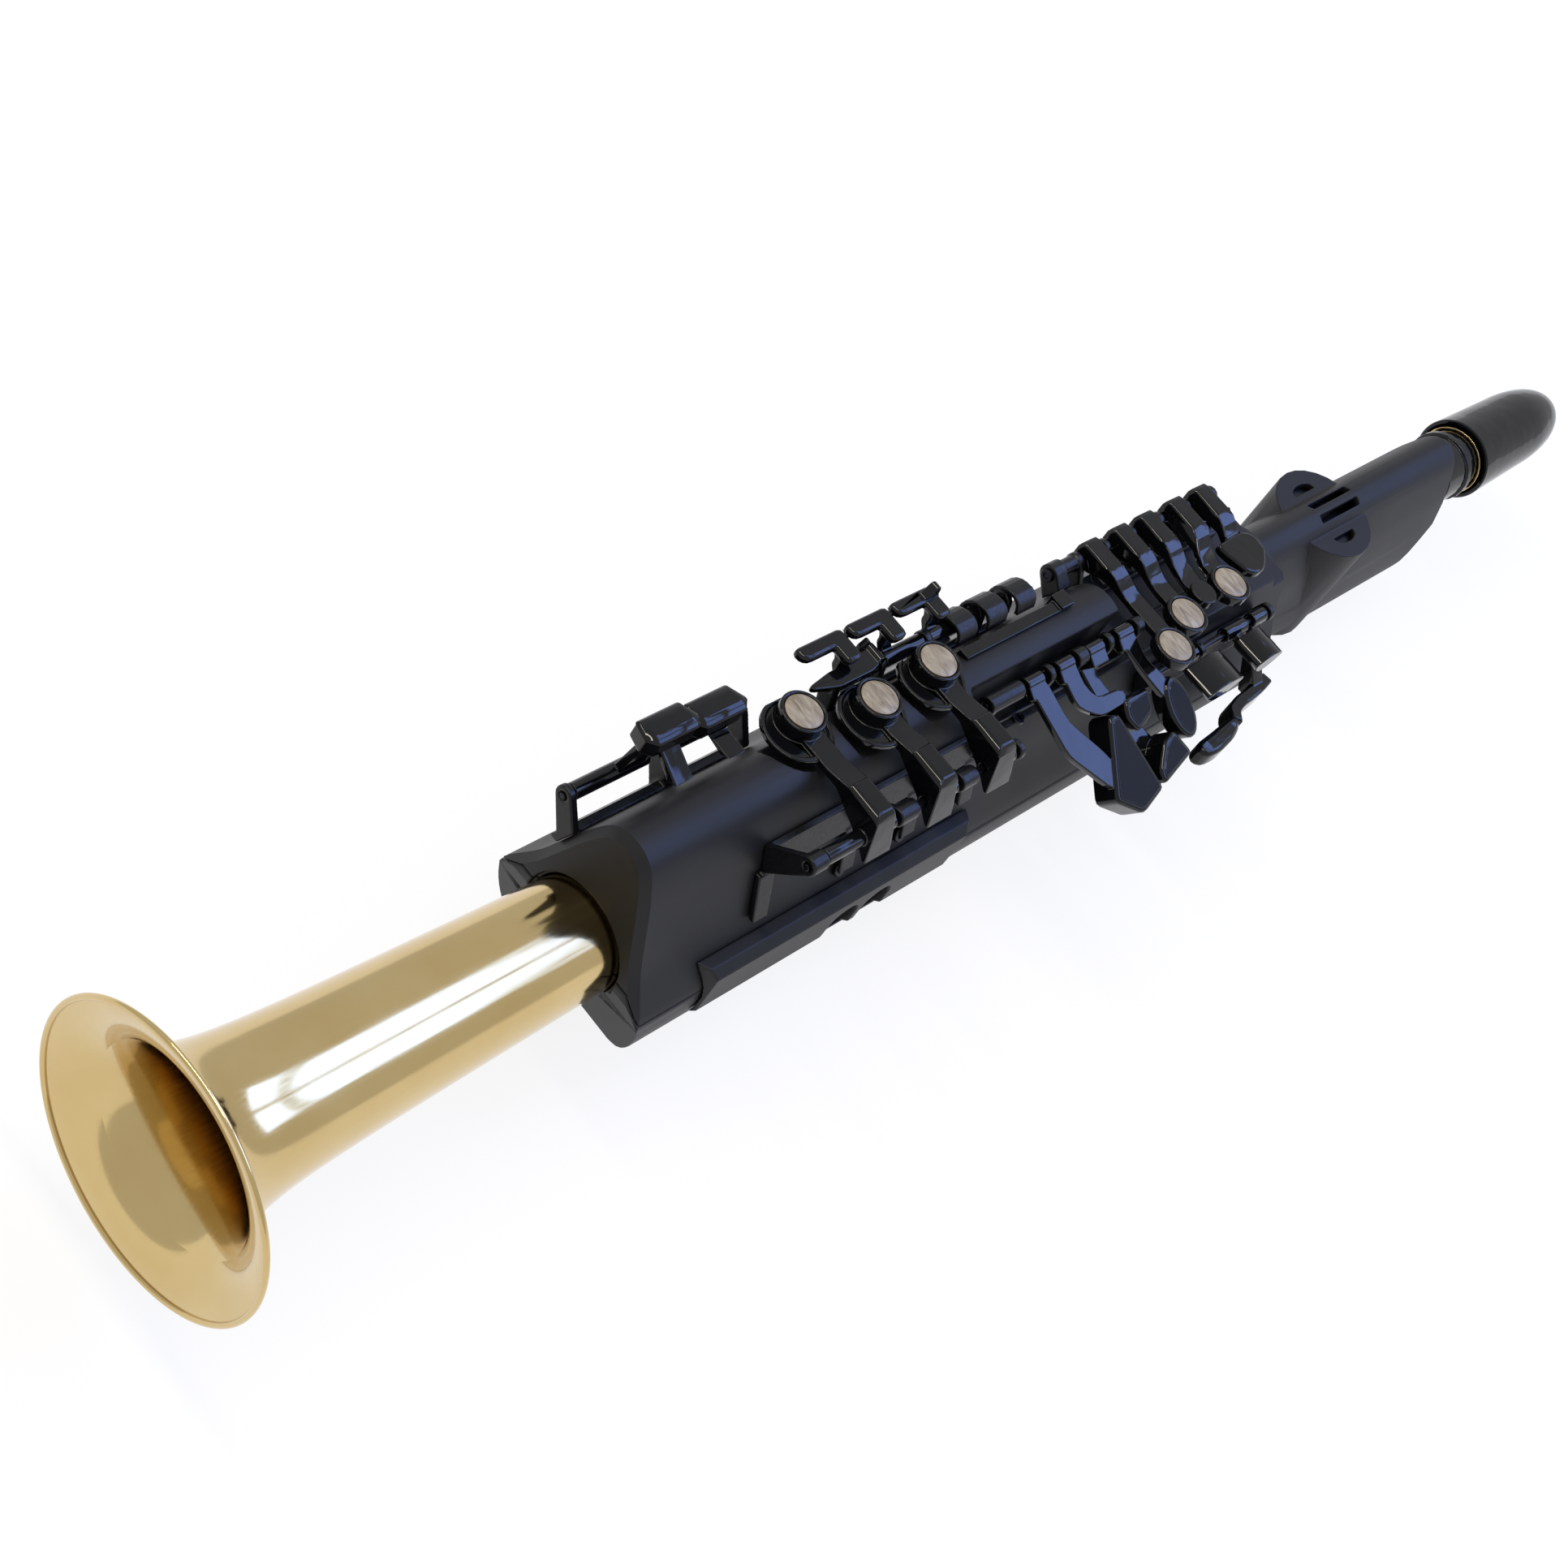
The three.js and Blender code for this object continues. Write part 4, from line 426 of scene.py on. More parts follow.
def polished_abs():
    """ABS from a mirror-polished tool: deep black with sharp reflections and the waves of a moulding"""
    material, tree, place = new_material("polished_moulded_abs")
    wave = add_node(tree, "ShaderNodeTexNoise", {"Vector": place, "Scale": per_metre(8), "Detail": 1.0})
    wear = add_node(tree, "ShaderNodeTexNoise", {"Vector": place, "Scale": per_metre(3), "Detail": 5.0})
    gloss = add_node(tree, "ShaderNodeMapRange", {
        "Value": wear.outputs["Fac"], "From Min": 0.45, "From Max": 0.75, "To Min": 0.05, "To Max": 0.13})
    bump = add_node(tree, "ShaderNodeBump", {
        "Height": wave.outputs["Fac"], "Strength": 0.8, "Distance": 0.25 * MM})
    shader = add_node(tree, "ShaderNodeBsdfPrincipled", {
        "Base Color": linear(colours().gloss), "Roughness": gloss.outputs["Result"],
        "Normal": bump.outputs["Normal"], "IOR": 1.52, "Specular IOR Level": 0.32})
    close_material(tree, shader)
    return material


def pearl_acrylic():
    """Cast acrylic with pearl pigment: grey-beige streaks under a polished face"""
    material, tree, place = new_material("pearl_acrylic")
    turn = add_node(tree, "ShaderNodeMapping", {
        "Vector": place, "Rotation": (0, 0, math.radians(35)), "Scale": (1, 0.28, 1)})
    streaks = add_node(tree, "ShaderNodeTexNoise", {
        "Vector": turn.outputs["Vector"], "Scale": per_metre(1.7), "Detail": 4.0, "Distortion": 0.8})
    ramp = add_node(tree, "ShaderNodeMapRange", {
        "Value": streaks.outputs["Fac"], "From Min": 0.3, "From Max": 0.7})
    tint = add_node(tree, "ShaderNodeMix", {
        "Factor": ramp.outputs["Result"], "A": linear(colours().pearl_dark),
        "B": linear(colours().pearl_light),
    }, data_type="RGBA")
    shader = add_node(tree, "ShaderNodeBsdfPrincipled", {
        "Base Color": tint.outputs["Result"], "Roughness": 0.34, "IOR": 1.49, "Specular IOR Level": 0.35})
    close_material(tree, shader)
    return material


def pearl_painted_shade():
    """The side of a pearl in the same acrylic, painted dark brown as shade, since it turns away from the
    light above
    """
    material, tree, place = new_material("pearl_acrylic_side")
    # Painted shade: two dark browns in a fine mottle, for a side that little light reaches
    layers = add_node(tree, "ShaderNodeTexNoise", {"Vector": place, "Scale": per_metre(1.2), "Detail": 2.0})
    tint = add_node(tree, "ShaderNodeMix", {
        "Factor": layers.outputs["Fac"], "A": linear(colours().pearl_shade), "B": linear("#2B201D"),
    }, data_type="RGBA")
    shader = add_node(tree, "ShaderNodeBsdfPrincipled", {
        "Base Color": tint.outputs["Result"], "Roughness": 0.3, "IOR": 1.49})
    close_material(tree, shader)
    return material


def black_steel():
    """Steel rod, drawn and blackened: dark metal with a mottled shine"""
    material, tree, place = new_material("blackened_steel")
    mottle = add_node(tree, "ShaderNodeTexNoise", {"Vector": place, "Scale": per_metre(1.5), "Detail": 3.0})
    gloss = add_node(tree, "ShaderNodeMapRange", {
        "Value": mottle.outputs["Fac"], "To Min": 0.18, "To Max": 0.32})
    shader = add_node(tree, "ShaderNodeBsdfPrincipled", {
        "Base Color": linear(colours().steel), "Metallic": 0.9, "Roughness": gloss.outputs["Result"]})
    close_material(tree, shader)
    return material


def moulded_rubber():
    """Soft rubber moulding: dull black with a fine bloom"""
    material, tree, place = new_material("moulded_rubber")
    bloom = add_node(tree, "ShaderNodeTexNoise", {"Vector": place, "Scale": per_metre(4), "Detail": 4.0})
    tint = add_node(tree, "ShaderNodeMix", {
        "Factor": bloom.outputs["Fac"], "A": linear(colours().rubber), "B": linear("#1C1D20"),
    }, data_type="RGBA")
    bump = add_node(tree, "ShaderNodeBump", {
        "Height": bloom.outputs["Fac"], "Strength": 0.15, "Distance": 0.05 * MM})
    shader = add_node(tree, "ShaderNodeBsdfPrincipled", {
        "Base Color": tint.outputs["Result"], "Roughness": 0.72, "Normal": bump.outputs["Normal"]})
    close_material(tree, shader)
    return material


def inner_finish(name, light, dark, spacing, roughness):
    """Finish of a part inside the housings: two close colours in a fine mottle"""
    material, tree, place = new_material(name)
    mottle = add_node(tree, "ShaderNodeTexNoise", {
        "Vector": place, "Scale": per_metre(spacing), "Detail": 4.0})
    tint = add_node(tree, "ShaderNodeMix", {
        "Factor": mottle.outputs["Fac"], "A": linear(light), "B": linear(dark)}, data_type="RGBA")
    bump = add_node(tree, "ShaderNodeBump", {
        "Height": mottle.outputs["Fac"], "Strength": 0.2, "Distance": 0.1 * MM})
    shader = add_node(tree, "ShaderNodeBsdfPrincipled", {
        "Base Color": tint.outputs["Result"], "Roughness": roughness, "Normal": bump.outputs["Normal"]})
    close_material(tree, shader)
    return material


FINISH_MAKERS = {
    "brass": lacquered_brass,
    "matte_black": satin_abs,
    "gloss_black": polished_abs,
    "frame": glass_filled_nylon,
    "pad": grained_abs,
    "pearl": pearl_acrylic,
    # The pearls' sides, painted dark as shade
    "pearl_painted_shade": pearl_painted_shade,
    "steel": black_steel,
    "black_rubber": moulded_rubber,
    "circuit_board": partial(inner_finish, "solder_masked_laminate", "#1F5A3A", "#174A2F", 6, 0.4),
    "cell_wrap": partial(inner_finish, "shrink_wrapped_cells", "#B98A3A", "#A87B30", 9, 0.35),
    "cane": partial(inner_finish, "shaved_cane", "#DCC38C", "#C9AA6C", 1.2, 0.6),
    "cork": partial(inner_finish, "greased_cork", "#A57C50", "#7F5B38", 1.6, 0.85),
}
FINISHES = {}


def finish(slot):
    """The material of one of the record's slots, or of a detail on one, made once"""
    if slot not in FINISHES:
        FINISHES[slot] = FINISH_MAKERS[slot]()
    return FINISHES[slot]


# Operators: one for each piece or group of like pieces

class WIND_OT_bell(bpy.types.Operator):
    """Spun brass bell: a wire-rolled rim, the flare and the slightly tapering tube"""
    bl_idname = "wind.bell"
    bl_label = "Bell"

    # The rings of the sheet crowd towards the rim by that power
    rings, crowding = 90, 2.6
    spin_steps, wire_steps = 144, 20
    flare_power = 0.7

    def radius(self, x):
        """The bell's outer radius, that far behind the rim"""
        s = sizes()
        taper = (s.throat_radius - s.tube_radius) / s.tube_length
        flare = s.rim_radius - s.bead_radius - s.throat_radius
        straight = max(s.tube_radius, s.throat_radius - taper * x)
        return straight + flare * math.exp(-((x / s.flare_reach) ** self.flare_power))

    def inner_side(self, outer):
        """The outer profile set in by the thickness of the sheet"""
        wall = sizes().bell_wall
        inner = []
        for i, (x, radius) in enumerate(outer):
            ahead = outer[min(i + 1, self.rings)]
            behind = outer[max(i - 1, 0)]
            normal = Vector((ahead[1] - behind[1], behind[0] - ahead[0])).normalized()
            inner.append((x - normal.x * wall, radius + normal.y * wall))
        return inner

    def spun(self, name, points, replaces=()):
        piece = turned(name, points, self.spin_steps, (0, 0, AXIS_Z), (1, 0, 0))
        smooth(piece, 60)
        finish_piece(piece, "instrument", finish("brass"), replaces)

    def execute(self, context):
        s = sizes()
        end = bell_high.x - RIM_X
        stations = [end * (i / self.rings) ** self.crowding for i in range(self.rings + 1)]
        outer = [(x, self.radius(x)) for x in stations]
        loop = list(reversed(outer)) + self.inner_side(outer)
        sheet = [Vector((RIM_X + max(x, -s.bead_radius), 0, AXIS_Z + r)) for x, r in loop]
        self.spun("brass_bell", [*sheet, sheet[0]], ["bell"])
        middle = AXIS_Z + s.rim_radius - s.bead_radius
        angles = (math.tau * i / self.wire_steps for i in range(self.wire_steps + 1))
        wire = [Vector((RIM_X + math.cos(a) * s.bead_radius, 0, middle + math.sin(a) * s.bead_radius))
                for a in angles]
        self.spun("bell_rim_wire", wire)
        return {"FINISHED"}


class WIND_OT_body(bpy.types.Operator):
    """Moulded body: front shell, back cover, battery cover, socket block and the gloss strip"""
    bl_idname = "wind.body"
    bl_label = "Body mouldings"

    # How fine the rounding of the battery door and of the strip is beside the others
    door_share, strip_share = 0.6, 0.8

    def execute(self, context):
        s = sizes()
        satin, gloss = finish("matte_black"), finish("gloss_black")
        edged_copy("front_shell", "front_moulding", s.shell_edge, satin, SHELL_LIMIT)
        edged_copy("back_cover", "back_moulding", s.shell_edge, satin, SHELL_LIMIT)
        edged_copy("battery_cover", "battery_door", s.shell_edge * self.door_share, satin)
        rounded_copy("socket_block", "jack_block", s.frame_round, 6, satin)
        rounded_copy("ridge_strip", "gloss_strip", s.key_round * self.strip_share, 2, gloss)
        return {"FINISHED"}


class WIND_OT_neck(bpy.types.Operator):
    """Neck moulding with the loudspeaker drum, and the rubber collar behind it"""
    bl_idname = "wind.neck"
    bl_label = "Neck"

    collar_share = 0.7

    def execute(self, context):
        edge = sizes().shell_edge
        edged_copy("neck_housing", "neck_moulding", edge, finish("matte_black"), SHELL_LIMIT)
        edged_copy("neck_collar", "collar_ring", edge * self.collar_share, finish("black_rubber"))
        return {"FINISHED"}


class WIND_OT_frames(bpy.types.Operator):
    """Hinge frames that carry the rods"""
    bl_idname = "wind.frames"
    bl_label = "Hinge frames"

    def execute(self, context):
        for name in ("right", "left", "low", "side", "table", "palm"):
            node = f"{name}_key_frame"
            rounded_copy(node, f"{name}_hinge_frame", sizes().frame_round, 4, finish("frame"))
        return {"FINISHED"}


# The root bars of the keys in millimetres: half their width, the height of their tops, their ends along Y,
# and the share of the bar edge that rounds them
RIGHT_BAR = {"half": 4.2, "top": 51, "near": -27.4, "far": -16.2, "edge_share": 1}
LEFT_BAR = {"half": 3.7, "top": 47, "near": 5, "far": 20.4, "edge_share": 0.5}
# The middle of each bar along X, in millimetres
BAR_MIDDLES = {
    "right_index_key": 268.3,
    "right_middle_key": 241,
    "right_ring_key": 213.2,
    "left_ring_key": 364.4,
    "left_middle_key": 380.3,
    "bis_key": 394.8,
    "left_index_key": 411.4,
    "front_f_key": 426.2,
}
# The touches of the palm keys in millimetres: their two ends along X and the height of their tops, then
# how deep they are and where along Y they stop and their arms begin
PALM_TOUCHES = {
    "palm_d_key": (379.4, 399.8, 30.5),
    "palm_eflat_key": (409.6, 424.6, 30),
}
PALM_DEEP, PALM_INNER = 9, -28.3
LOW_KEYS = ("low_c_key", "low_eflat_key")
TABLE_KEYS = ("low_bflat_key", "gsharp_key", "csharp_key", "low_b_key")
# The way that the touches of the table keys face
TABLE_WAY = Vector((0, -0.5, math.sqrt(0.75)))


class WIND_OT_keys(bpy.types.Operator):
    """Moulded keys: softly rounded bars and touches, and grained pads on the table keys"""
    bl_idname = "wind.keys"
    bl_label = "Keys"

    segments, crown_cuts = 6, 13
    # The share of a bar's soft edge on its side away from the bell, and the slack past its two ends
    far_side_share, end_slack = 0.45, 0.5 * MM
    # A face takes a pad if it faces that nearly the pads' way, is that large and lies that near the top
    facing, pad_area, pad_slack = 0.999, 20 * MM * MM, 0.05 * MM
    # The width of the pad's slope and the further rise of its middle, as shares of its rise
    slope_share, middle_share = 0.5, 0.2

    def soften(self, piece, test, width):
        """Rounds the edges that pass a test"""
        choose(piece, "edges", test)
        bpy.ops.mesh.bevel(offset=width, segments=self.segments, profile=0.5, clamp_overlap=False)
        bpy.ops.object.mode_set(mode="OBJECT")

    def round_bar(self, piece, middle, bar):
        """Rounds both long top edges of a root bar, the one towards the bell most"""
        low, high = bar["near"] * MM - self.end_slack, bar["far"] * MM + self.end_slack
        for side, share in ((-1, 1), (1, self.far_side_share)):
            line = spot(middle + side * bar["half"], 0, bar["top"])

            def on_line(edge):
                ends = [piece.data.vertices[i].co for i in edge.vertices]
                return all(abs(p.x - line.x) < HAIR and abs(p.z - line.z) < HAIR and low < p.y < high
                           for p in ends)

            self.soften(piece, on_line, sizes().bar_edge * bar["edge_share"] * share)

    def round_touch(self, piece):
        """Rounds the edges round the top of a low key's touch"""
        vertices = piece.data.vertices
        top = max(vertex.co.z for vertex in vertices)

        def on_top(edge):
            return all(top - vertices[i].co.z < HAIR for i in edge.vertices)

        self.soften(piece, on_top, sizes().touch_edge)

    def crown_touch(self, piece, touch):
        """Curves the flat top of a palm key's touch down to its two ends"""
        near, far, height = touch
        middle, half = spot((near + far) / 2, 0, 0).x, (far - near) / 2 * MM
        top, bottom, inner = spot(0, 0, height).z, spot(0, 0, height - PALM_DEEP).z, PALM_INNER * MM

        def long_top(edge):
            here, there = (piece.data.vertices[i].co for i in edge.vertices)
            return (abs(here.z - top) < HAIR and abs(there.z - top) < HAIR
                    and abs(here.y - there.y) < HAIR and abs(here.x - there.x) > half and here.y < inner)

        choose(piece, "edges", long_top)
        bpy.ops.mesh.subdivide(number_cuts=self.crown_cuts)
        bpy.ops.object.mode_set(mode="OBJECT")
        for vertex in piece.data.vertices:
            if vertex.co.y < inner:
                share = ((vertex.co.x - middle) / half) ** 2 * (vertex.co.z - bottom) / (top - bottom)
                vertex.co.z -= sizes().palm_crown * share

    def raise_pad(self, piece):
        """Lifts a pad inside the rim of a table key's touch"""
        s = sizes()
        low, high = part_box("table_hinge_rod")
        rod = Vector((0, (low.y + high.y) / 2, (low.z + high.z) / 2))

        def facing(face):
            return face.normal.dot(TABLE_WAY) > self.facing and face.area > self.pad_area

        height = max((piece.data.vertices[i].co - rod).dot(TABLE_WAY)
                     for face in piece.data.polygons if facing(face) for i in face.vertices)

        def on_top(face):
            return facing(face) and abs((face.center - rod).dot(TABLE_WAY) - height) < self.pad_slack

        choose(piece, "polygons", on_top)
        bpy.ops.mesh.inset(thickness=s.pad_rim, depth=0)
        bpy.ops.mesh.inset(thickness=s.pad_rise * self.slope_share, depth=s.pad_rise)
        bpy.ops.mesh.inset(thickness=s.pad_rise, depth=s.pad_rise * self.middle_share)
        paint_chosen(piece, "gloss_black", "pad")

    def execute(self, context):
        for node in [node for node in SLOT_OF if node.endswith("_key")]:
            before = after = None
            if node in BAR_MIDDLES:
                bar = RIGHT_BAR if node.startswith("right") else LEFT_BAR
                before = partial(self.round_bar, middle=BAR_MIDDLES[node], bar=bar)
            elif node in PALM_TOUCHES:
                before = partial(self.crown_touch, touch=PALM_TOUCHES[node])
            elif node in LOW_KEYS:
                before = self.round_touch
            elif node in TABLE_KEYS:
                after = self.raise_pad
            name = node.replace("_key", "_lever")
            edged_copy(node, name, sizes().key_edge, finish("gloss_black"), before=before, after=after)
        return {"FINISHED"}


class WIND_OT_screws(bpy.types.Operator):
    """Socket-head screws that hold the hinge frames"""
    bl_idname = "wind.screws"
    bl_label = "Screws"

    spin_steps = 36
    # The socket's radius and the height of its floor, as shares of the head's
    socket_share, floor_share = 0.45, 0.3
    flank, up, to_bell = Vector((0, -0.88, 0.47)).normalized(), Vector((0, 0, 1)), Vector((-1, 0, 0))
    # Each screw's place in millimetres and the way that its head faces
    places = {
        "right_frame_screw_front": ((223.2, -23.8, 9.8), flank),
        "right_frame_screw_rear": ((250.6, -23.8, 9.8), flank),
        "table_frame_screw_front": ((304.6, -15.2, 27), up),
        "table_frame_screw_rear": ((336.1, -15.6, 27), up),
        "left_frame_screw": ((343.4, 17, 41.5), to_bell),
    }

    def profile(self):
        """Radius and height along the socket, the head and its underside"""
        s = sizes()
        socket, floor = s.screw_radius * self.socket_share, s.screw_height * self.floor_share
        return [
            (socket, floor), (socket, s.screw_height - s.screw_edge / 2),
            (socket + s.screw_edge / 2, s.screw_height), (s.screw_radius - s.screw_edge, s.screw_height),
            (s.screw_radius, s.screw_height - s.screw_edge), (s.screw_radius, -s.screw_sink),
            (0, -s.screw_sink), (0, floor), (socket, floor),
        ]

    def execute(self, context):
        for name, (place, way) in self.places.items():
            centre = spot(*place)
            across = Vector((0, 1, 0)) if way == self.to_bell else Vector((1, 0, 0))
            points = [centre + across * radius + way * height for radius, height in self.profile()]
            screw = turned(name, points, self.spin_steps, centre, way)
            smooth(screw)
            finish_piece(screw, "instrument", finish("steel"))
        return {"FINISHED"}


class WIND_OT_pearls(bpy.types.Operator):
    """Domed pearls in their cups"""
    bl_idname = "wind.pearls"
    bl_label = "Pearls"

    spin_steps, arc_steps = 56, 12
    # The share of a pearl's height that is straight side, and how full its dome is
    side_share, dome_power = 0.5, 0.55
    # How high a cup's rim is as a share of half its width, and the step that keeps its inside straight
    rim_share, rim_step = 0.8, 0.1 * MM
    # A face that looks up less than this belongs to a pearl's side, which gets the painted shade
    side_facing = 0.7

    def arc(self, start, stop):
        """Angles along an arc, its start left out"""
        return [start + (stop - start) * i / self.arc_steps for i in range(1, self.arc_steps + 1)]

    def spun(self, name, profile, x, y, z):
        points = [Vector((x + radius, y, z + height)) for radius, height in profile]
        return turned(name, points, self.spin_steps, (x, y, 0), (0, 0, 1))

    def pearl(self, node, x, y, low, rise):
        """A low dome whose shoulder rolls over into a straight side"""
        radius = sizes().pearl_radius
        side = rise * self.side_share
        profile = [(0, 0), (radius, 0), (radius, side)]
        for angle in self.arc(0, math.pi / 2)[:-1]:
            profile.append((radius * math.cos(angle) ** self.dome_power,
                            side + (rise - side) * math.sin(angle)))
        profile.append((0, rise))
        pearl = self.spun(f"{node}_dome", profile, x, y, low)
        smooth(pearl, 50)
        # The faces turned away from above get the painted shade of a pearl's side
        choose(pearl, "polygons", lambda face: face.normal.z < self.side_facing)
        paint_chosen(pearl, "pearl", "pearl_painted_shade")
        finish_piece(pearl, BODY_OF[node], finish("pearl"), [node])

    def cup(self, node, x, y, shoulder):
        """A ring with a round rim, which stands round a pearl"""
        s = sizes()
        inside = s.pearl_radius + s.cup_gap
        middle, half = (inside + s.cup_radius) / 2, (s.cup_radius - inside) / 2
        ring = [(inside, -s.cup_depth), (inside, -self.rim_step), (inside, 0)]
        for angle in self.arc(math.pi, 0):
            ring.append((middle + half * math.cos(angle), half * self.rim_share * math.sin(angle)))
        ring += [(s.cup_radius, -s.cup_depth), ring[0]]
        cup = self.spun(node.replace("_pearl", "_cup_rim"), ring, x, y, shoulder)
        smooth(cup, 40)
        finish_piece(cup, BODY_OF[node], finish("gloss_black"))

    def execute(self, context):
        for node in [node for node in SLOT_OF if node.endswith("_pearl")]:
            low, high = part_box(node)
            x, y = (low.x + high.x) / 2, (low.y + high.y) / 2
            self.pearl(node, x, y, low.z, high.z - low.z)
            self.cup(node, x, y, high.z - sizes().cup_drop)
        return {"FINISHED"}


class WIND_OT_rods(bpy.types.Operator):
    """Hinge rods with bevelled ends"""
    bl_idname = "wind.rods"
    bl_label = "Hinge rods"

    spin_steps = 28

    def execute(self, context):
        edge = sizes().rod_edge
        for name in ("right", "left", "low", "side", "table"):
            node = f"{name}_hinge_rod"
            low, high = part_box(node)
            y, z = (low.y + high.y) / 2, (low.z + high.z) / 2
            radius = (high.y - low.y) / 2
            profile = [(low.x, 0), (low.x, radius - edge), (low.x + edge, radius),
                       (high.x - edge, radius), (high.x, radius - edge), (high.x, 0)]
            points = [Vector((x, y, z + r)) for x, r in profile]
            rod = turned(f"{name}_steel_rod", points, self.spin_steps, (0, y, z), (1, 0, 0))
            smooth(rod)
            finish_piece(rod, BODY_OF[node], finish("steel"), [node])
        return {"FINISHED"}


class WIND_OT_mouthpiece(bpy.types.Operator):
    """Mouthpiece, reed, ligature and cap"""
    bl_idname = "wind.mouthpiece"
    bl_label = "Mouthpiece and cap"

    spin_steps = 96
    dome_steps, dome_power = 28, 0.75
    # How fine the rounding of the ligature and the reed is beside the mouthpiece's
    thin_share = 0.4

    def dome(self, start, shoulder, end):
        """Points of the cap's dome, from beside its shoulder to beside its tip"""
        angles = (math.pi / 2 * i / self.dome_steps for i in range(1, self.dome_steps))
        return [(start + (end - start) * math.sin(a), shoulder * math.cos(a) ** self.dome_power)
                for a in angles]

    def cap(self):
        s = sizes()
        low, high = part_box("mouthpiece_cap")
        mouth, tip, radius = low.x, high.x, (high.y - low.y) / 2
        start, inner_shoulder = mouth + s.cap_side, s.cap_shoulder - s.cap_wall
        profile = [
            (mouth, radius - s.cap_wall + s.cap_mouth), (mouth, radius - s.cap_lip),
            (mouth + s.cap_lip, radius), (start, s.cap_shoulder),
            *self.dome(start, s.cap_shoulder, tip), (tip, 0), (tip - s.cap_wall, 0),
            *reversed(self.dome(start, inner_shoulder, tip - s.cap_wall)), (start, inner_shoulder),
            (mouth + s.cap_lip, radius - s.cap_wall),
        ]
        points = [Vector((x, 0, AXIS_Z + r)) for x, r in profile]
        cap = turned("gloss_cap", [*points, points[0]], self.spin_steps, (0, 0, AXIS_Z), (1, 0, 0))
        smooth(cap, 40)
        finish_piece(cap, "cap", finish("gloss_black"), ["mouthpiece_cap"])

    def execute(self, context):
        edge = sizes().shell_edge
        self.cap()
        edged_copy("mouthpiece", "gloss_mouthpiece", edge, finish("gloss_black"))
        edged_copy("ligature", "ligature_band", edge * self.thin_share, finish("brass"))
        edged_copy("reed", "cane_reed", edge * self.thin_share, finish("cane"))
        return {"FINISHED"}


class WIND_OT_back(bpy.types.Operator):
    """Thumb hook, strap ring, thumb rest and power button on the back"""
    bl_idname = "wind.back"
    bl_label = "Back fittings"

    def execute(self, context):
        grain = sizes().key_round
        rounded_copy("thumb_hook", "thumb_hook_moulding", grain, 6, finish("gloss_black"))
        rounded_copy("strap_ring", "strap_ring_casting", grain, 4, finish("brass"))
        rounded_copy("thumb_rest", "thumb_rest_pad", grain, 4, finish("black_rubber"))
        rounded_copy("power_button", "power_button_cap", grain, 3, finish("black_rubber"))
        return {"FINISHED"}


class WIND_OT_inside(bpy.types.Operator):
    """Parts inside the housings keep their solids and get their finishes"""
    bl_idname = "wind.inside"
    bl_label = "Inner parts"

    def execute(self, context):
        for node in ("main_board", "battery_pack", "loudspeaker", "breath_sensor", "mouthpiece_tenon"):
            piece = frame["nodes"][node]
            piece.data.materials.clear()
            piece.data.materials.append(finish(SLOT_OF[node]))
        return {"FINISHED"}


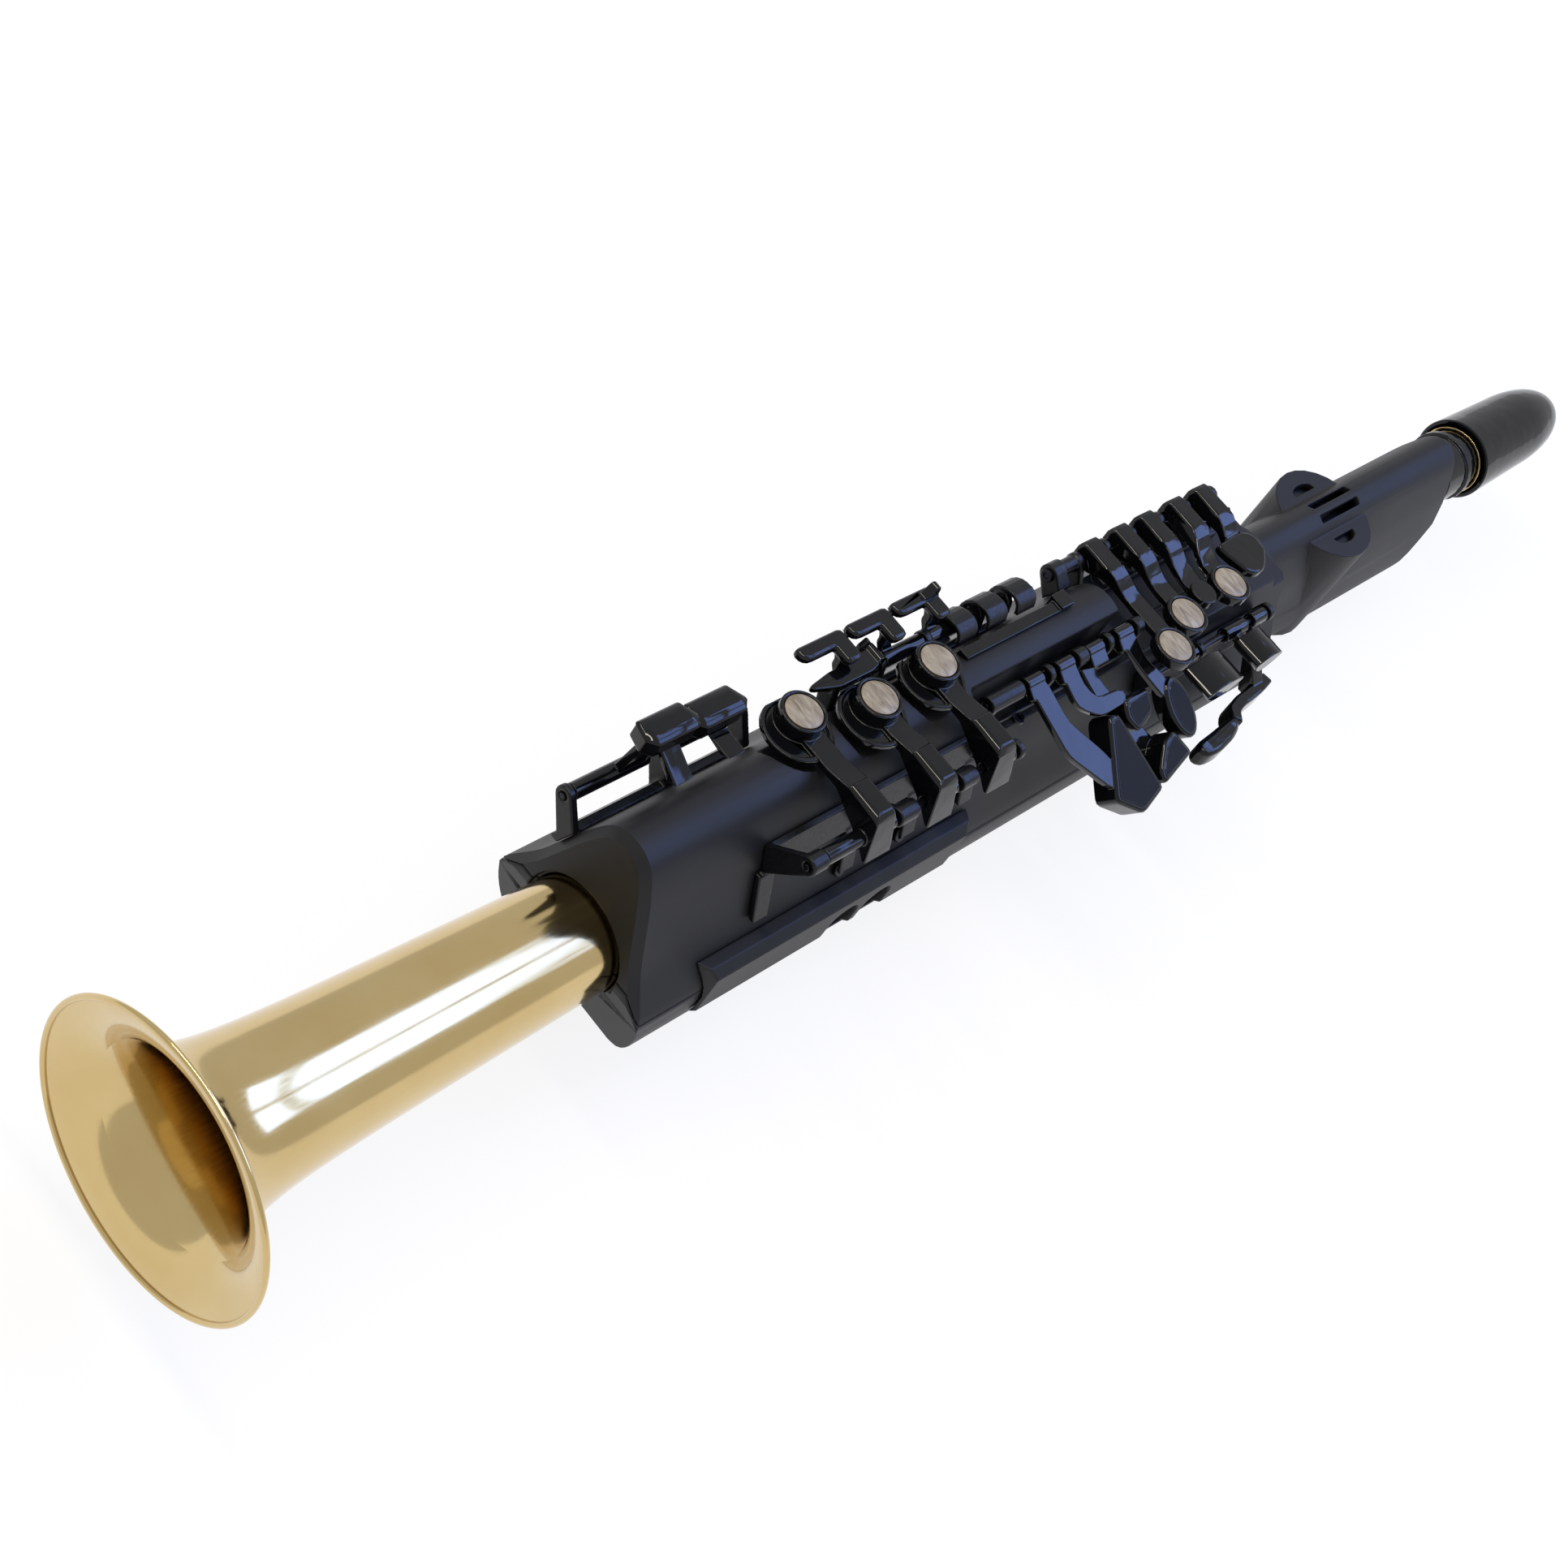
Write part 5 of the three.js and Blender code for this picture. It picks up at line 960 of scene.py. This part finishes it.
class WIND_OT_stage(bpy.types.Operator):
    """Pale floor, a window, a ceiling tube, the room's light and the camera at the photograph's angle"""
    bl_idname = "wind.stage"
    bl_label = "Stage"

    sensor_width = 36
    floor_gap = 0.5 * MM
    # How much of the floor is plain white to the camera and in mirrors, the rest being its lit paint
    white_share = 0.85
    # Places of the lights from the middle of the keys, and their sizes, in metres
    keys_middle = spot(250, 0, 20)
    window_way, window_size, glazing_bar = Vector((0.64, -0.32, 0.70)) * 4, (2.3, 3.4), 0.22
    tube_way, tube_size = Vector((-0.1, 0.22, 0.97)) * 1.8, (0.15, 1.8)

    def camera(self, stage):
        data = bpy.data.cameras.new("photo_camera")
        data.sensor_width = self.sensor_width
        data.lens = stage.lens
        camera = bpy.data.objects.new("photo_camera", data)
        right, up = Vector(stage.camera_right).normalized(), Vector(stage.camera_up).normalized()
        back = right.cross(up).normalized()
        turn = Matrix((right, back.cross(right), back)).transposed()
        camera.matrix_world = Matrix.Translation(Vector(stage.camera_place)) @ turn.to_4x4()
        bpy.context.scene.collection.objects.link(camera)
        bpy.context.scene.camera = camera

    def background_rays(self, tree):
        """1 on the rays that see the white background: from the camera, a mirror or a glass"""
        ray = add_node(tree, "ShaderNodeLightPath")
        seen = add_node(tree, "ShaderNodeMath", {
            0: ray.outputs["Is Camera Ray"], 1: ray.outputs["Is Glossy Ray"]}, operation="ADD")
        every = add_node(tree, "ShaderNodeMath", {
            0: seen.outputs[0], 1: ray.outputs["Is Transmission Ray"]}, operation="ADD", use_clamp=True)
        return every.outputs[0]

    def floor(self, stage):
        only_nothing()
        height = cad_low.z - self.floor_gap
        bpy.ops.mesh.primitive_plane_add(size=stage.floor_size, location=(0, 0, height))
        floor = bpy.context.object
        floor.name = "pale_floor"
        bpy.ops.object.transform_apply(location=True)
        material = bpy.data.materials.new("pale_floor_paint")
        material.use_nodes = True
        tree = material.node_tree
        tree.nodes.clear()
        diffuse = add_node(tree, "ShaderNodeBsdfDiffuse", {"Color": linear(colours().floor)})
        white = add_node(tree, "ShaderNodeEmission", {"Color": (1, 1, 1, 1), "Strength": 1.0})
        amount = add_node(tree, "ShaderNodeMath", {
            0: self.background_rays(tree), 1: self.white_share}, operation="MULTIPLY")
        mix = add_node(tree, "ShaderNodeMixShader", {
            0: amount.outputs[0], 1: diffuse.outputs[0], 2: white.outputs[0]})
        add_node(tree, "ShaderNodeOutputMaterial", {"Surface": mix.outputs[0]})
        floor.data.materials.append(material)

    def lamp(self, name, way, size, power, tint, shift=(0, 0)):
        """A soft panel that faces the middle of the keys from there, shifted in its own plane"""
        data = bpy.data.lights.new(name, "AREA")
        data.shape = "RECTANGLE"
        data.size, data.size_y = size
        data.energy = power
        data.color = linear(tint)[:3]
        lamp = bpy.data.objects.new(name, data)
        back = way.normalized()
        side = (Vector((1, 0, 0)) - back * back.x).normalized()
        turn = Matrix((side, back.cross(side), back)).transposed()
        place = self.keys_middle + way + turn @ Vector((*shift, 0))
        lamp.matrix_world = Matrix.Translation(place) @ turn.to_4x4()
        bpy.context.scene.collection.objects.link(lamp)

    def window(self, stage):
        """A window with a glazing bar each way, so that its reflections break up as a real one's do"""
        pane = [(side - self.glazing_bar) / 2 for side in self.window_size]
        step = [(side + self.glazing_bar) / 2 for side in pane]
        for column, across in enumerate((-1, 1)):
            for row, upward in enumerate((-1, 1)):
                self.lamp(f"window_pane_{column}_{row}", self.window_way, pane, stage.pane_power,
                          colours().window, (across * step[0], upward * step[1]))

    def room(self, stage):
        world = bpy.data.worlds.new("studio")
        world.use_nodes = True
        tree = world.node_tree
        tree.nodes.clear()
        room = add_node(tree, "ShaderNodeBackground", {
            "Color": linear(colours().room), "Strength": stage.room_strength})
        add_node(tree, "ShaderNodeOutputWorld", {"Surface": room.outputs[0]})
        bpy.context.scene.world = world

    def execute(self, context):
        stage = context.scene.wind_stage
        self.camera(stage)
        self.floor(stage)
        self.window(stage)
        self.lamp("ceiling_tube", self.tube_way, self.tube_size, stage.tube_power, colours().ceiling)
        self.room(stage)
        context.scene.view_settings.view_transform = "Standard"
        return {"FINISHED"}


class WIND_PT_panel(bpy.types.Panel):
    """Lists the steps that dress the wind controller"""
    bl_idname = "WIND_PT_panel"
    bl_label = "Wind controller"
    bl_space_type = "VIEW_3D"
    bl_region_type = "UI"
    bl_category = "Wind controller"

    def draw(self, context):
        for step in STEPS:
            self.layout.operator(step.bl_idname)
        for group in (context.scene.wind_sizes, context.scene.wind_colours, context.scene.wind_stage):
            for name in group.__annotations__:
                self.layout.prop(group, name)


STEPS = (
    WIND_OT_bell, WIND_OT_body, WIND_OT_neck, WIND_OT_frames, WIND_OT_keys, WIND_OT_screws, WIND_OT_pearls,
    WIND_OT_rods, WIND_OT_mouthpiece, WIND_OT_back, WIND_OT_inside, WIND_OT_stage,
)
GROUPS = {"wind_sizes": WindSizes, "wind_colours": WindColours, "wind_stage": WindStage}


def register():
    for made in (*GROUPS.values(), *STEPS, WIND_PT_panel):
        bpy.utils.register_class(made)
    for name, group in GROUPS.items():
        setattr(bpy.types.Scene, name, PointerProperty(type=group))


def unregister():
    for name in GROUPS:
        delattr(bpy.types.Scene, name)
    for made in reversed((*GROUPS.values(), *STEPS, WIND_PT_panel)):
        bpy.utils.unregister_class(made)


def main():
    register()
    for step in STEPS:
        group, name = step.bl_idname.split(".")
        getattr(getattr(bpy.ops, group), name)()


if __name__ == "__main__":
    main()
